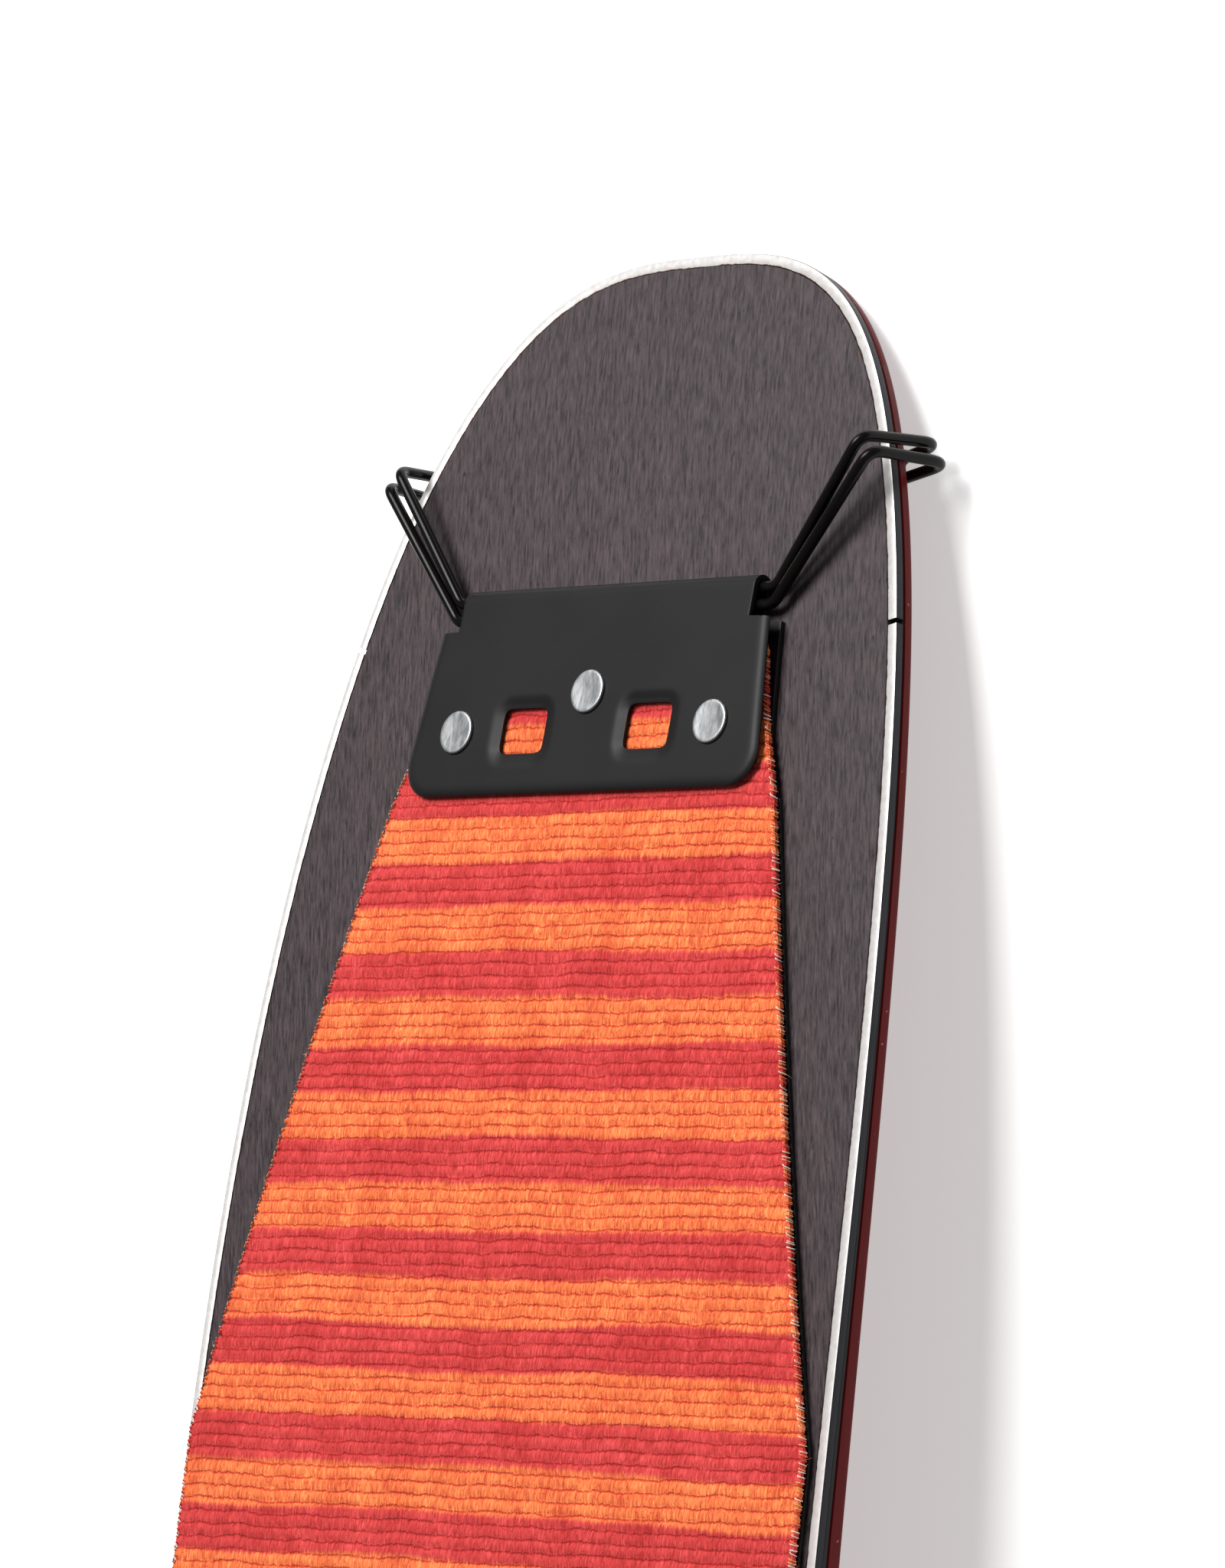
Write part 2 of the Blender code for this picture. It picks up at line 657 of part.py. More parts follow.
def make_skin(shop):
    """Backing with its glue, the plush over it, and the folded tip plate that both hang from."""
    backing = slab(
        "skin_backing",
        skin_rows(SKIN_BACKING_START),
        lambda s: -(LAMINATION_GAP + SKIN_BACKING),
        lambda s: -LAMINATION_GAP,
    )
    shop.add(backing, "backing")
    plush = slab("skin_plush", skin_rows(SKIN_START), lambda s: skin_top(), lambda s: plush_bottom())
    shop.add(plush, "plush")
    plate = make_tip_plate(shop)

    windows = []
    for side in (-1, 1):
        centre = side * WINDOW_OFFSET
        half = WINDOW_LENGTH / 2
        window = box(
            f"window_cutter_{'left' if side < 0 else 'right'}",
            (centre - WINDOW_WIDTH / 2, -half, -0.0012),
            (centre + WINDOW_WIDTH / 2, half, 0.0020),
            0.0012,
        )
        window.matrix_world = seat(0.0, RIVET_STATION, -(PLATE_HEIGHT - PLATE_SHEET / 2))
        windows.append(shop.cutter(window))
    for window in windows:
        shop.cut(plate, window)

    rivet_places = (
        ("left", -RIVET_SPAN, RIVET_STATION),
        ("middle", 0.0, MIDDLE_RIVET_STATION),
        ("right", RIVET_SPAN, RIVET_STATION),
    )
    for word, x, station in rivet_places:
        bore = object_from_bmesh(
            f"rivet_bore_{word}", rod(0.012, RIVET_SHANK_RADIUS + TOUCH_GAP, (0, 0, 0), "Z")
        )
        bore.matrix_world = seat(x, station, 0.0)
        shop.cutter(bore)
        shop.cut(plate, bore)
        shop.cut(bpy.data.objects["skin_plush"], bore)
        head_top = TOUCH_GAP + RIVET_HEAD_HEIGHT
        profile = [
            (0.0, head_top),
            (RIVET_HEAD_RADIUS * 0.86, head_top),
            (RIVET_HEAD_RADIUS, TOUCH_GAP),
            (RIVET_SHANK_RADIUS, TOUCH_GAP),
            (RIVET_SHANK_RADIUS, -PLATE_HEIGHT + TOUCH_GAP),
            (0.0, -PLATE_HEIGHT + TOUCH_GAP),
        ]
        rivet = turned(f"{word}_rivet", profile, 12)
        rivet.matrix_world = seat(x, station, -PLATE_HEIGHT)
        shop.add(rivet, "aluminium")


def plate_half_width(station):
    """Half width of the tip plate: a slight trapezoid whose lower corners are rounded."""
    run = (station - PLATE_START) / (PLATE_END - PLATE_START)
    straight = PLATE_TOP_HALF_WIDTH + (PLATE_BOTTOM_HALF_WIDTH - PLATE_TOP_HALF_WIDTH) * run
    into = station - (PLATE_END - PLATE_CORNER)
    if into <= 0.0:
        return straight
    return straight - PLATE_CORNER + math.sqrt(max(PLATE_CORNER**2 - into**2, 0.0))


def make_tip_plate(shop):
    """One folded sheet: the face, the flattened sleeve at its head and the leaf under the skin.

    The fold is a path of (station, height, half width) carried across the plank, and Solidify
    gives the sheet its thickness inside the fold.
    """
    radius = PLATE_HEIGHT / 2 - LAMINATION_GAP / 2
    middle = radius + LAMINATION_GAP
    sleeve_end = PLATE_START + SLEEVE_LENGTH
    corner_turns = [math.sin(math.radians(a)) for a in (0, 25, 50, 70, 84)]
    corner_run = [PLATE_END - PLATE_CORNER * (1.0 - turn) for turn in corner_turns]
    leaf_height = LAMINATION_GAP

    fold = [(s, leaf_height, plate_half_width(s)) for s in reversed(corner_run)]
    fold.append((sleeve_end + 0.0006, leaf_height, plate_half_width(sleeve_end)))
    fold.append((sleeve_end, leaf_height, SLEEVE_HALF_WIDTH))
    for step in range(7):
        turn = math.pi * step / 6
        station = PLATE_START + radius - radius * math.sin(turn)
        fold.append((station, middle - radius * math.cos(turn), SLEEVE_HALF_WIDTH))
    fold.append((sleeve_end, PLATE_HEIGHT, SLEEVE_HALF_WIDTH))
    fold.append((sleeve_end + 0.0006, PLATE_HEIGHT, plate_half_width(sleeve_end)))
    fold += [(s, PLATE_HEIGHT, plate_half_width(s)) for s in corner_run]

    shape = bmesh.new()
    bmesh.ops.create_grid(shape, x_segments=1, y_segments=len(fold) - 1, size=0.5)
    for vertex in shape.verts:
        row = round((vertex.co.y + 0.5) * (len(fold) - 1))
        station, height, half = fold[row]
        side = 1 if vertex.co.x > 0 else -1
        vertex.co = place(side * half, station, -height)
    mesh = bpy.data.meshes.new("tip_plate")
    shape.to_mesh(mesh)
    shape.free()
    obj = bpy.data.objects.new("tip_plate", mesh)
    bpy.context.scene.collection.objects.link(obj)
    wall = obj.modifiers.new("sheet", "SOLIDIFY")
    wall.thickness = PLATE_SHEET
    wall.offset = 1.0
    wall.use_even_offset = True
    return shop.add(obj, "black_metal")


def make_wire_loops(shop):
    """Two sprung hairpins. Their legs slide in the sleeve, and their hooks go round the edges."""
    height = PLATE_HEIGHT / 2 + LAMINATION_GAP / 2
    sleeve_middle = PLATE_START + SLEEVE_LENGTH / 2 - 0.0002
    upper_leg = sleeve_middle - WIRE_RADIUS - WIRE_SPACE / 2
    lower_leg = sleeve_middle + WIRE_RADIUS + WIRE_SPACE / 2
    exit_x = SLEEVE_HALF_WIDTH + 0.0030
    hook_depth = TIP_THICKNESS + 0.0040
    # Each corner of the hook: distance outside the plank's outline, station and depth.
    hook = (
        (0.00004, 0.0386, -0.0073),
        (0.00447, 0.0348, hook_depth),
        (-0.00538, 0.0372, hook_depth + 0.0002),
        (-0.00583, 0.0408, hook_depth + 0.0002),
        (0.00588, 0.0385, hook_depth),
        (0.00142, 0.0412, -0.0068),
    )
    corners = [(float(half_width(s, 1)) + outside, s, depth) for outside, s, depth in hook]
    legs = (
        (WIRE_INNER_END, upper_leg, -height),
        (exit_x, upper_leg, -height),
        *corners,
        (exit_x, lower_leg, -height),
        (WIRE_INNER_END, lower_leg, -height),
    )
    for side, word in ((-1, "left"), (1, "right")):
        points = [place(side * x, station, depth) for x, station, depth in legs]
        loop = wire(f"{word}_wire_loop", rounded_path(points, WIRE_BEND), WIRE_RADIUS)
        shop.add(loop, "black_metal")


def make_tail_kit(shop):
    """Buckle riveted on the skin's tail, its cam lever, and the strap with the hook in the notch."""
    station = LENGTH - BUCKLE_BACK
    lift = skin_top() - TOUCH_GAP
    half = STRAP_WIDTH / 2 + 2 * TOUCH_GAP + BUCKLE_WALL
    inner = half - BUCKLE_WALL
    channel = [
        (-half, 0.0), (half, 0.0), (half, BUCKLE_HEIGHT), (inner, BUCKLE_HEIGHT),
        (inner, BUCKLE_BASE), (-inner, BUCKLE_BASE), (-inner, BUCKLE_HEIGHT), (-half, BUCKLE_HEIGHT),
    ]
    buckle = along("tail_buckle", channel, BUCKLE_LENGTH)
    buckle.matrix_world = seat(0.0, station, lift)
    shop.add(buckle, "aluminium")

    strap_low = BUCKLE_BASE + STRAP_LIFT
    strap_high = strap_low + STRAP_THICKNESS
    pin_height = strap_high + CAM_PIN_LIFT
    pin_bore = object_from_bmesh(
        "cam_pin_bore", rod(4 * half, CAM_PIN_RADIUS + TOUCH_GAP / 2, (0, 0, pin_height), "X")
    )
    pin_bore.matrix_world = seat(0.0, station, lift)
    shop.cut(buckle, shop.cutter(pin_bore))
    pin = object_from_bmesh("cam_pin", rod(2 * half + 0.001, CAM_PIN_RADIUS, (0, 0, 0), "X"))
    pin.matrix_world = seat(0.0, station, lift) @ Matrix.Translation((0, 0, pin_height))
    shop.add(pin, "steel")

    lever_profile = [
        (-0.0030, -0.0022), (0.0008, -0.0023), (0.0022, -0.0008), (0.0018, 0.0016),
        (-0.0060, 0.0026), (-0.0180, 0.0026), (-0.0180, 0.0012), (-0.0060, 0.0008),
    ]
    lever = across("cam_lever", lever_profile, 2 * (inner - TOUCH_GAP))
    lever.matrix_world = pin.matrix_world.copy()
    lever_bore = object_from_bmesh(
        "cam_lever_bore", rod(4 * half, CAM_PIN_RADIUS + TOUCH_GAP / 3, (0, 0, 0), "X")
    )
    lever_bore.matrix_world = pin.matrix_world.copy()
    shop.cut(shop.add(lever, "black_metal"), shop.cutter(lever_bore))

    for side, word in ((-1, "left"), (1, "right")):
        x = side * (STRAP_WIDTH / 2 - TAIL_RIVET_INSET)
        y = BUCKLE_LENGTH / 2 - TAIL_RIVET_SETBACK
        bore = object_from_bmesh(
            f"tail_rivet_bore_{word}", rod(0.012, RIVET_SHANK_RADIUS + TOUCH_GAP, (x, y, 0), "Z")
        )
        bore.matrix_world = seat(0.0, station, lift)
        shop.cut(buckle, shop.cutter(bore))
        shop.cut(bpy.data.objects["skin_plush"], bore)
        profile = [
            (0.0, RIVET_HEAD_HEIGHT), (TAIL_RIVET_HEAD, RIVET_HEAD_HEIGHT),
            (TAIL_RIVET_HEAD, LAMINATION_GAP), (RIVET_SHANK_RADIUS, LAMINATION_GAP),
            (RIVET_SHANK_RADIUS, -(BUCKLE_BASE + SKIN_PLUSH)), (0.0, -(BUCKLE_BASE + SKIN_PLUSH)),
        ]
        rivet = turned(f"{word}_tail_rivet", profile)
        rivet.matrix_world = seat(0.0, station, lift) @ Matrix.Translation((x, y, BUCKLE_BASE))
        shop.add(rivet, "aluminium")

    hook_back = NOTCH_DEPTH - HOOK_NOTCH_GAP
    strap_end = -(BUCKLE_BACK - hook_back) + 0.0010
    free_end = BUCKLE_LENGTH / 2 + STRAP_FREE_END
    strap = across(
        "tail_strap",
        [
            (free_end, strap_low), (free_end, strap_high),
            (strap_end, strap_high), (strap_end, strap_low),
        ],
        STRAP_WIDTH,
    )
    strap.matrix_world = seat(0.0, station, lift)
    shop.add(strap, "webbing")

    top = -lift + strap_low - TOUCH_GAP
    under = -(TIP_THICKNESS + HOOK_LIP_GAP)
    sheet = HOOK_SHEET
    hook_profile = [
        (HOOK_FLANGE, top), (HOOK_FLANGE, top - sheet), (0.0, top - sheet), (0.0, under),
        (HOOK_LIP, under), (HOOK_LIP, under - sheet), (-sheet, under - sheet), (-sheet, top),
    ]
    hook = across("tail_hook", hook_profile, HOOK_WIDTH)
    hook.matrix_world = seat(0.0, LENGTH, 0.0) @ Matrix.Translation((0.0, hook_back, 0.0))
    shop.add(hook, "steel")


# ---------------------------------------------------------------- topside hardware
def middle_line(station):
    """Half way between the two sides of the plank."""
    return float(half_width(station, 1) - half_width(station, -1)) / 2.0


def topside(x, station, height=TOUCH_GAP):
    """Seat of a piece under the topsheet: local +Z still points out of the running base."""
    return seat(x, station, float(thickness(station)) + height)


def screw_profile(head_gap, shank):
    """Screw under the plank: its head hangs below the seat and its shank goes up into the core."""
    return [
        (0.0, shank),
        (SCREW_SHANK, shank),
        (SCREW_SHANK, -head_gap),
        (SCREW_HEAD, -head_gap),
        (SCREW_HEAD * 0.85, -head_gap - SCREW_HEAD_HEIGHT),
        (0.0, -head_gap - SCREW_HEAD_HEIGHT),
    ]


def add_screw(shop, name, piece, x, station, stack, bores, sunk=False):
    """A screw through a piece of hardware whose clamped thickness is the stack.

    A sunk screw has its head in a wider hole, which starts where the clamped thickness ends.
    """
    head_gap = stack + 2 * TOUCH_GAP
    shank = float(thickness(station)) - SHANK_TOP_DEPTH
    seat_at = seat(x, station, float(thickness(station)))
    screw = turned(name, screw_profile(head_gap, shank), 8)
    screw.matrix_world = seat_at
    shop.add(screw, "steel")
    radius = SCREW_SHANK + BORE_CLEARANCE
    reach = 2 * (shank + TOUCH_GAP)
    bore = object_from_bmesh(name + "_bore", rod(reach, radius, (0, 0, 0), "Z", 8))
    bore.matrix_world = seat_at
    bores.append(shop.cutter(bore))
    through = object_from_bmesh(name + "_hole", rod(0.06, radius, (0, 0, 0), "Z", 8))
    through.matrix_world = seat_at
    shop.cut(piece, shop.cutter(through))
    if sunk:
        depth = 0.03
        centre = (0.0, 0.0, -stack - TOUCH_GAP - depth / 2)
        pocket = object_from_bmesh(
            name + "_pocket", rod(depth, SCREW_HEAD + BORE_CLEARANCE, centre, "Z", 12)
        )
        pocket.matrix_world = seat_at
        shop.cut(piece, shop.cutter(pocket))


def make_bracket(shop, bores):
    """Touring bracket: a channel with two ears, and the pin that the binding turns on."""
    x = middle_line(BRACKET_STATION)
    half = BRACKET_WIDTH / 2
    inner = half - BRACKET_WALL
    channel = [
        (-half, 0.0), (-half, -BRACKET_EAR), (-inner, -BRACKET_EAR), (-inner, -BRACKET_BASE),
        (inner, -BRACKET_BASE), (inner, -BRACKET_EAR), (half, -BRACKET_EAR), (half, 0.0),
    ]
    bracket = along("touring_bracket", channel, BRACKET_LENGTH)
    bracket.matrix_world = topside(x, BRACKET_STATION)
    shop.add(bracket, "aluminium")

    bore = object_from_bmesh(
        "touring_pin_bore", rod(2 * BRACKET_WIDTH, PIN_RADIUS + 0.00012, (0, 0, -PIN_HEIGHT), "X", 16)
    )
    bore.matrix_world = bracket.matrix_world.copy()
    shop.cut(bracket, shop.cutter(bore))
    handle = PIN_HANDLE
    length = BRACKET_WIDTH + 0.006
    profile = [
        (0.0, length / 2 + 0.004), (handle, length / 2 + 0.004), (handle, length / 2 - 0.001),
        (PIN_RADIUS, length / 2 - 0.001), (PIN_RADIUS, -length / 2 + 0.001),
        (PIN_RADIUS * 0.6, -length / 2), (0.0, -length / 2),
    ]
    pin = turned("touring_pin", profile, 16)
    lay = Matrix.Rotation(math.pi / 2, 4, "Y")
    pin.matrix_world = bracket.matrix_world @ Matrix.Translation((0, 0, -PIN_HEIGHT)) @ lay
    shop.add(pin, "steel")

    number = 0
    for dx in (-BRACKET_SCREW_X, BRACKET_SCREW_X):
        for dy in (-BRACKET_SCREW_Y, BRACKET_SCREW_Y):
            number += 1
            add_screw(
                shop, f"bracket_screw_{number}", bracket, x + dx, BRACKET_STATION + dy,
                BRACKET_BASE, bores,
            )


def make_heel_rest(shop, bores):
    """Heel block and the wire that swings up from it to raise the heel on steep ground."""
    x = middle_line(HEEL_STATION)
    half, tall = HEEL_LENGTH / 2, HEEL_HEIGHT
    profile = [
        (-half, 0.0), (-half, -0.006), (-half + 0.008, -tall), (half - 0.018, -tall),
        (half - 0.016, -0.007), (half, -0.006), (half, 0.0),
    ]
    block = across("heel_rest", profile, HEEL_WIDTH)
    block.matrix_world = topside(x, HEEL_STATION)
    shop.add(block, "plastic")

    pivot = Vector((0.0, -0.006, -BAIL_HEIGHT))
    bore = object_from_bmesh(
        "bail_bore", rod(2 * HEEL_WIDTH, BAIL_RADIUS + 0.0002, pivot, "X", 12)
    )
    bore.matrix_world = block.matrix_world.copy()
    shop.cut(block, shop.cutter(bore))
    arm = HEEL_WIDTH / 2 + BAIL_RADIUS + 0.0012
    stub = HEEL_WIDTH / 2 - 0.010
    points = [
        (-stub, 0, 0), (-arm, 0, 0), (-arm, BAIL_REACH, 0), (arm, BAIL_REACH, 0),
        (arm, 0, 0), (stub, 0, 0),
    ]
    bail = wire("riser_wire", rounded_path(points, 0.0026), BAIL_RADIUS)
    bail.matrix_world = block.matrix_world @ Matrix.Translation(pivot)
    shop.add(bail, "steel")
    for number, dx in enumerate((-0.018, 0.018), 1):
        add_screw(
            shop, f"heel_screw_{number}", block, x + dx, HEEL_STATION - half + 0.009,
            0.0066, bores,
        )


def make_pucks(shop, bores):
    """Slider pucks by the inner side, which the binding slides over when both halves are joined."""
    half, tall, ledge = PUCK_LENGTH / 2, PUCK_HEIGHT, PUCK_LEDGE
    body, face = half - PUCK_FLANGE, half - PUCK_CHAMFER
    profile = [
        (-body, 0.0), (-body, -ledge), (-half, -ledge), (-half, -tall + PUCK_CHAMFER),
        (-face, -tall), (face, -tall), (half, -tall + PUCK_CHAMFER), (half, -ledge),
        (body, -ledge), (body, 0.0),
    ]
    for station, word in zip(PUCK_STATIONS, ("front", "rear")):
        puck = across(f"{word}_puck", profile, PUCK_WIDTH)
        puck.matrix_world = topside(PUCK_OFFSET, station)
        shop.add(puck, "plastic")
        for number, (dx, dy) in enumerate(PUCK_SCREWS, 1):
            add_screw(
                shop, f"{word}_puck_screw_{number}", puck, PUCK_OFFSET + dx, station + dy,
                tall - PUCK_SCREW_SINK, bores, sunk=True,
            )


def make_clips(shop, bores):
    """Four swinging clips by the inner side, folded back along it, which join the two halves."""
    post = CLIP_SHEET + 2 * TOUCH_GAP
    flange, cap = 0.0016, 0.0018
    for station, word in zip(CLIP_STATIONS, CLIP_NAMES):
        x = -float(half_width(station, -1)) + CLIP_EDGE_INSET
        seat_at = topside(x, station)
        shank = float(thickness(station)) * 0.38
        profile = [
            (0.0, shank), (SCREW_SHANK, shank), (SCREW_SHANK, 0.0), (STUD_FLANGE, 0.0),
            (STUD_FLANGE, -flange), (STUD_RADIUS, -flange), (STUD_RADIUS, -flange - post),
            (STUD_FLANGE, -flange - post), (STUD_FLANGE * 0.8, -flange - post - cap),
            (0.0, -flange - post - cap),
        ]
        stud = turned(f"{word}_clip_stud", profile)
        stud.matrix_world = seat_at
        shop.add(stud, "steel")
        bore = object_from_bmesh(
            f"{word}_stud_bore",
            rod(2 * (shank + TOUCH_GAP), SCREW_SHANK + BORE_CLEARANCE, (0, 0, 0), "Z", 8),
        )
        bore.matrix_world = seat_at
        bores.append(shop.cutter(bore))

        half = CLIP_WIDTH / 2
        turns = np.linspace(0.0, math.pi, 7)
        head = [(half * math.cos(a), half * math.sin(a)) for a in turns]
        throat = STUD_RADIUS + 0.0004
        mouth = CLIP_THROAT_END - CLIP_LENGTH
        foot = [
            (-half, mouth + throat), (0.0, mouth + throat), (throat * 0.7, mouth),
            (0.0, mouth - throat), (-half, mouth - throat),
            (-half, -CLIP_LENGTH + 0.003), (-half + 0.003, -CLIP_LENGTH),
            (half - 0.003, -CLIP_LENGTH), (half, -CLIP_LENGTH + 0.003),
        ]
        hole_radius = STUD_RADIUS + 0.00025
        around = np.linspace(0.0, 2 * math.pi, 13)[:-1]
        hole = [(hole_radius * math.cos(a), hole_radius * math.sin(a)) for a in around]
        lever = flat_outline(f"{word}_clip", [head + foot, hole], CLIP_SHEET)
        drop = flange + post / 2
        lever.matrix_world = seat_at @ Matrix.Translation((0, 0, -drop))
        shop.add(lever, "steel")


def main():
    shop = Workshop()
    topsheet, upper, core = make_plank(shop)
    make_skin(shop)
    make_wire_loops(shop)
    make_tail_kit(shop)
    bores = []
    make_bracket(shop, bores)
    make_heel_rest(shop, bores)
    make_pucks(shop, bores)
    make_clips(shop, bores)
    for layer in (topsheet, upper, core):
        for bore in bores:
            shop.cut(layer, bore)


main()
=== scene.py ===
"""Looks of one half of a splitboard with its climbing skin on.

Run as a script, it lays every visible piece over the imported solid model. Units are metres and
+Z is up. The plank lies with its running base up and its nose along +Y. A station is a distance
along the plank from the nose tip, and a depth is a distance below the running base.
"""

import math

import bmesh
import bpy
import numpy as np
from bpy.props import FloatProperty, FloatVectorProperty, IntProperty, PointerProperty
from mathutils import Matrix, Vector


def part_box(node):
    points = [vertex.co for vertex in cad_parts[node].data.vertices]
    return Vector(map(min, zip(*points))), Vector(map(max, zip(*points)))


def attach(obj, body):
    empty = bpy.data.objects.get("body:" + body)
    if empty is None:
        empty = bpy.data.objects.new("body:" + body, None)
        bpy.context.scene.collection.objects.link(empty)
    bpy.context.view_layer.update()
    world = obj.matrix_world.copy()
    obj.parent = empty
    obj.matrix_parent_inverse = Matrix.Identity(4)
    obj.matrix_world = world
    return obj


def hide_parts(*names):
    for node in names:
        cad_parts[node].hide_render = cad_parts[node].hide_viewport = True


bl_info = {
    "name": "Splitboard half",
    "version": (1, 0, 0),
    "blender": (4, 5, 0),
    "location": "3D View > Sidebar > Splitboard",
    "description": "Builds the visible pieces of a splitboard half with its climbing skin",
    "category": "Add Mesh",
}

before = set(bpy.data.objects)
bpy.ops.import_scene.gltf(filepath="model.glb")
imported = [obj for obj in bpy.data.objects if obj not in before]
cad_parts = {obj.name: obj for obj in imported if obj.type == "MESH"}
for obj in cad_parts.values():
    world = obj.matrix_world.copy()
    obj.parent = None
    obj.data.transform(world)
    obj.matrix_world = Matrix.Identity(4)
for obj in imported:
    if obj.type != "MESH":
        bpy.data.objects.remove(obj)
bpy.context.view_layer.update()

# ---------------------------------------------------------------- plank sizes, as the solid model has them
LENGTH = 1.640
NOSE_LENGTH = 0.259
NOSE_POWER = 3.0
TAIL_LENGTH = 0.190
TAIL_POWER = 4.0
TAIL_HALF_WIDTH = 0.0730
WAIST_STATION = 0.840
WAIST_HALF_WIDTH = 0.0600
NOSE_ROCKER = 0.350
NOSE_RADIUS = 1.520
TIP_ARC = 0.055
TIP_RADIUS = 0.680
TAIL_ROCKER = 0.300
TIP_THICKNESS = 0.0042
MIDDLE_THICKNESS = 0.0078
THIN_END = 0.070
THICK_START = 0.380
CAP_SHARE = 0.46
GAP = 0.0001
FIRST_TURN = math.radians(1.5)
BASE_THICKNESS = 0.0012
NOTCH_HALF_WIDTH = 0.017
NOTCH_DEPTH = 0.016
NOTCH_POWER = 6.0
TAIL_TRIM = 0.0004
AXIS_HOLE = 0.00004

BASE_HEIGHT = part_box("base_sheet")[1].z
NOSE_HALF_WIDTH = -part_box("topsheet")[0].x


def smoothstep(low, high, value):
    """0 below low, 1 above high, and a smooth cubic between them."""
    share = np.clip((value - low) / (high - low), 0.0, 1.0)
    return share * share * (3.0 - 2.0 * share)


def superellipse(distance, length, half, power):
    """Half width of a rounded end: half times (1 - ((length - distance) / length)^power)^(1/power)."""
    share = np.clip((length - distance) / length, 0.0, 1.0)
    return half * (1.0 - share**power) ** (1.0 / power)


def half_width(station, side):
    """Half width at a station: a rounded nose, a cosine sidecut (outer side only), a rounded tail."""
    station = np.asarray(station, float)
    tail_width = TAIL_HALF_WIDTH if side > 0 else NOSE_HALF_WIDTH
    waist_width = WAIST_HALF_WIDTH if side > 0 else NOSE_HALF_WIDTH
    to_waist = (station - NOSE_LENGTH) / (WAIST_STATION - NOSE_LENGTH)
    from_waist = (LENGTH - TAIL_LENGTH - station) / (LENGTH - TAIL_LENGTH - WAIST_STATION)
    fore = station < WAIST_STATION
    wide = np.where(fore, NOSE_HALF_WIDTH, tail_width)
    turn = np.clip(np.where(fore, to_waist, from_waist), 0.0, 1.0)
    middle = waist_width + (wide - waist_width) * (0.5 + 0.5 * np.cos(np.pi * turn))
    nose = superellipse(station, NOSE_LENGTH, NOSE_HALF_WIDTH, NOSE_POWER)
    tail = superellipse(LENGTH - station, TAIL_LENGTH, tail_width, TAIL_POWER)
    ends = np.where(station < NOSE_LENGTH, nose, middle)
    return np.where(station > LENGTH - TAIL_LENGTH, tail, ends)


def thickness(station):
    """Thickness of the whole plank: thin ends and a smooth step up to the middle."""
    from_end = np.minimum(station, LENGTH - np.asarray(station, float))
    rise = smoothstep(THIN_END, THICK_START, from_end)
    return TIP_THICKNESS + (MIDDLE_THICKNESS - TIP_THICKNESS) * rise


def nose_arc(forward):
    """Reach, drop and angle of the base ahead of the flat stretch, along one long and one short arc."""
    forward = np.asarray(forward, float)
    first = NOSE_ROCKER - TIP_ARC
    angle_1 = np.minimum(forward, first) / NOSE_RADIUS
    angle_2 = angle_1 + np.maximum(forward - first, 0.0) / TIP_RADIUS
    reach = NOSE_RADIUS * np.sin(angle_1) + TIP_RADIUS * (np.sin(angle_2) - np.sin(angle_1))
    drop = NOSE_RADIUS * (1 - np.cos(angle_1)) + TIP_RADIUS * (np.cos(angle_1) - np.cos(angle_2))
    return reach, drop, angle_2


NOSE_REACH, NOSE_DROP = (float(value) for value in nose_arc(NOSE_ROCKER)[:2])
TAIL_RADIUS = TAIL_ROCKER**2 / (2.0 * NOSE_DROP) + NOSE_DROP / 6.0
TAIL_REACH = TAIL_RADIUS * math.sin(TAIL_ROCKER / TAIL_RADIUS)
FLAT_LENGTH = LENGTH - NOSE_ROCKER - TAIL_ROCKER
FLAT_FRONT = (FLAT_LENGTH + TAIL_REACH - NOSE_REACH) / 2.0


def spine(station):
    """Y, Z and slope of the base at each station: nose arcs, a flat stretch and a tail arc."""
    station = np.asarray(station, float)
    reach, drop, nose_angle = nose_arc(np.maximum(NOSE_ROCKER - station, 0.0))
    flat = np.clip(station - NOSE_ROCKER, 0.0, FLAT_LENGTH)
    tail_angle = np.maximum(station - NOSE_ROCKER - FLAT_LENGTH, 0.0) / TAIL_RADIUS
    y = FLAT_FRONT + reach - flat - TAIL_RADIUS * np.sin(tail_angle)
    z = BASE_HEIGHT - drop - TAIL_RADIUS * (1.0 - np.cos(tail_angle))
    return y, z, nose_angle - tail_angle


def place(x, station, depth):
    """World points: the spine's point at each station, moved square to the base by the depth."""
    x, station, depth = np.broadcast_arrays(x, station, depth)
    y, z, angle = spine(station)
    return np.stack([x, y - depth * np.sin(angle), z - depth * np.cos(angle)], axis=-1)


def outline(side, inset, stations):
    """One side's line moved inwards by the inset, square to itself: arrays of x and station."""
    step = 1e-6
    slope = (half_width(stations + step, side) - half_width(stations - step, side)) / (2 * step)
    size = np.sqrt(1.0 + slope**2)
    x = half_width(stations, side) - inset / size
    return side * x, stations + inset * slope / size


def fine_stations():
    """Stations of the rows: even turns round the nose and the tail, and even steps between."""
    nose_turn = np.linspace(FIRST_TURN, math.pi / 2, 111)
    tail_turn = np.linspace(math.pi / 2, FIRST_TURN, 61)
    nose = NOSE_LENGTH * (1.0 - np.cos(nose_turn) ** (2.0 / NOSE_POWER))
    tail = LENGTH - TAIL_LENGTH * (1.0 - np.cos(tail_turn) ** (2.0 / TAIL_POWER))
    middle = np.linspace(nose[-1], tail[0], 150)[1:-1]
    return np.concatenate([nose, middle, tail])


FINE = fine_stations()


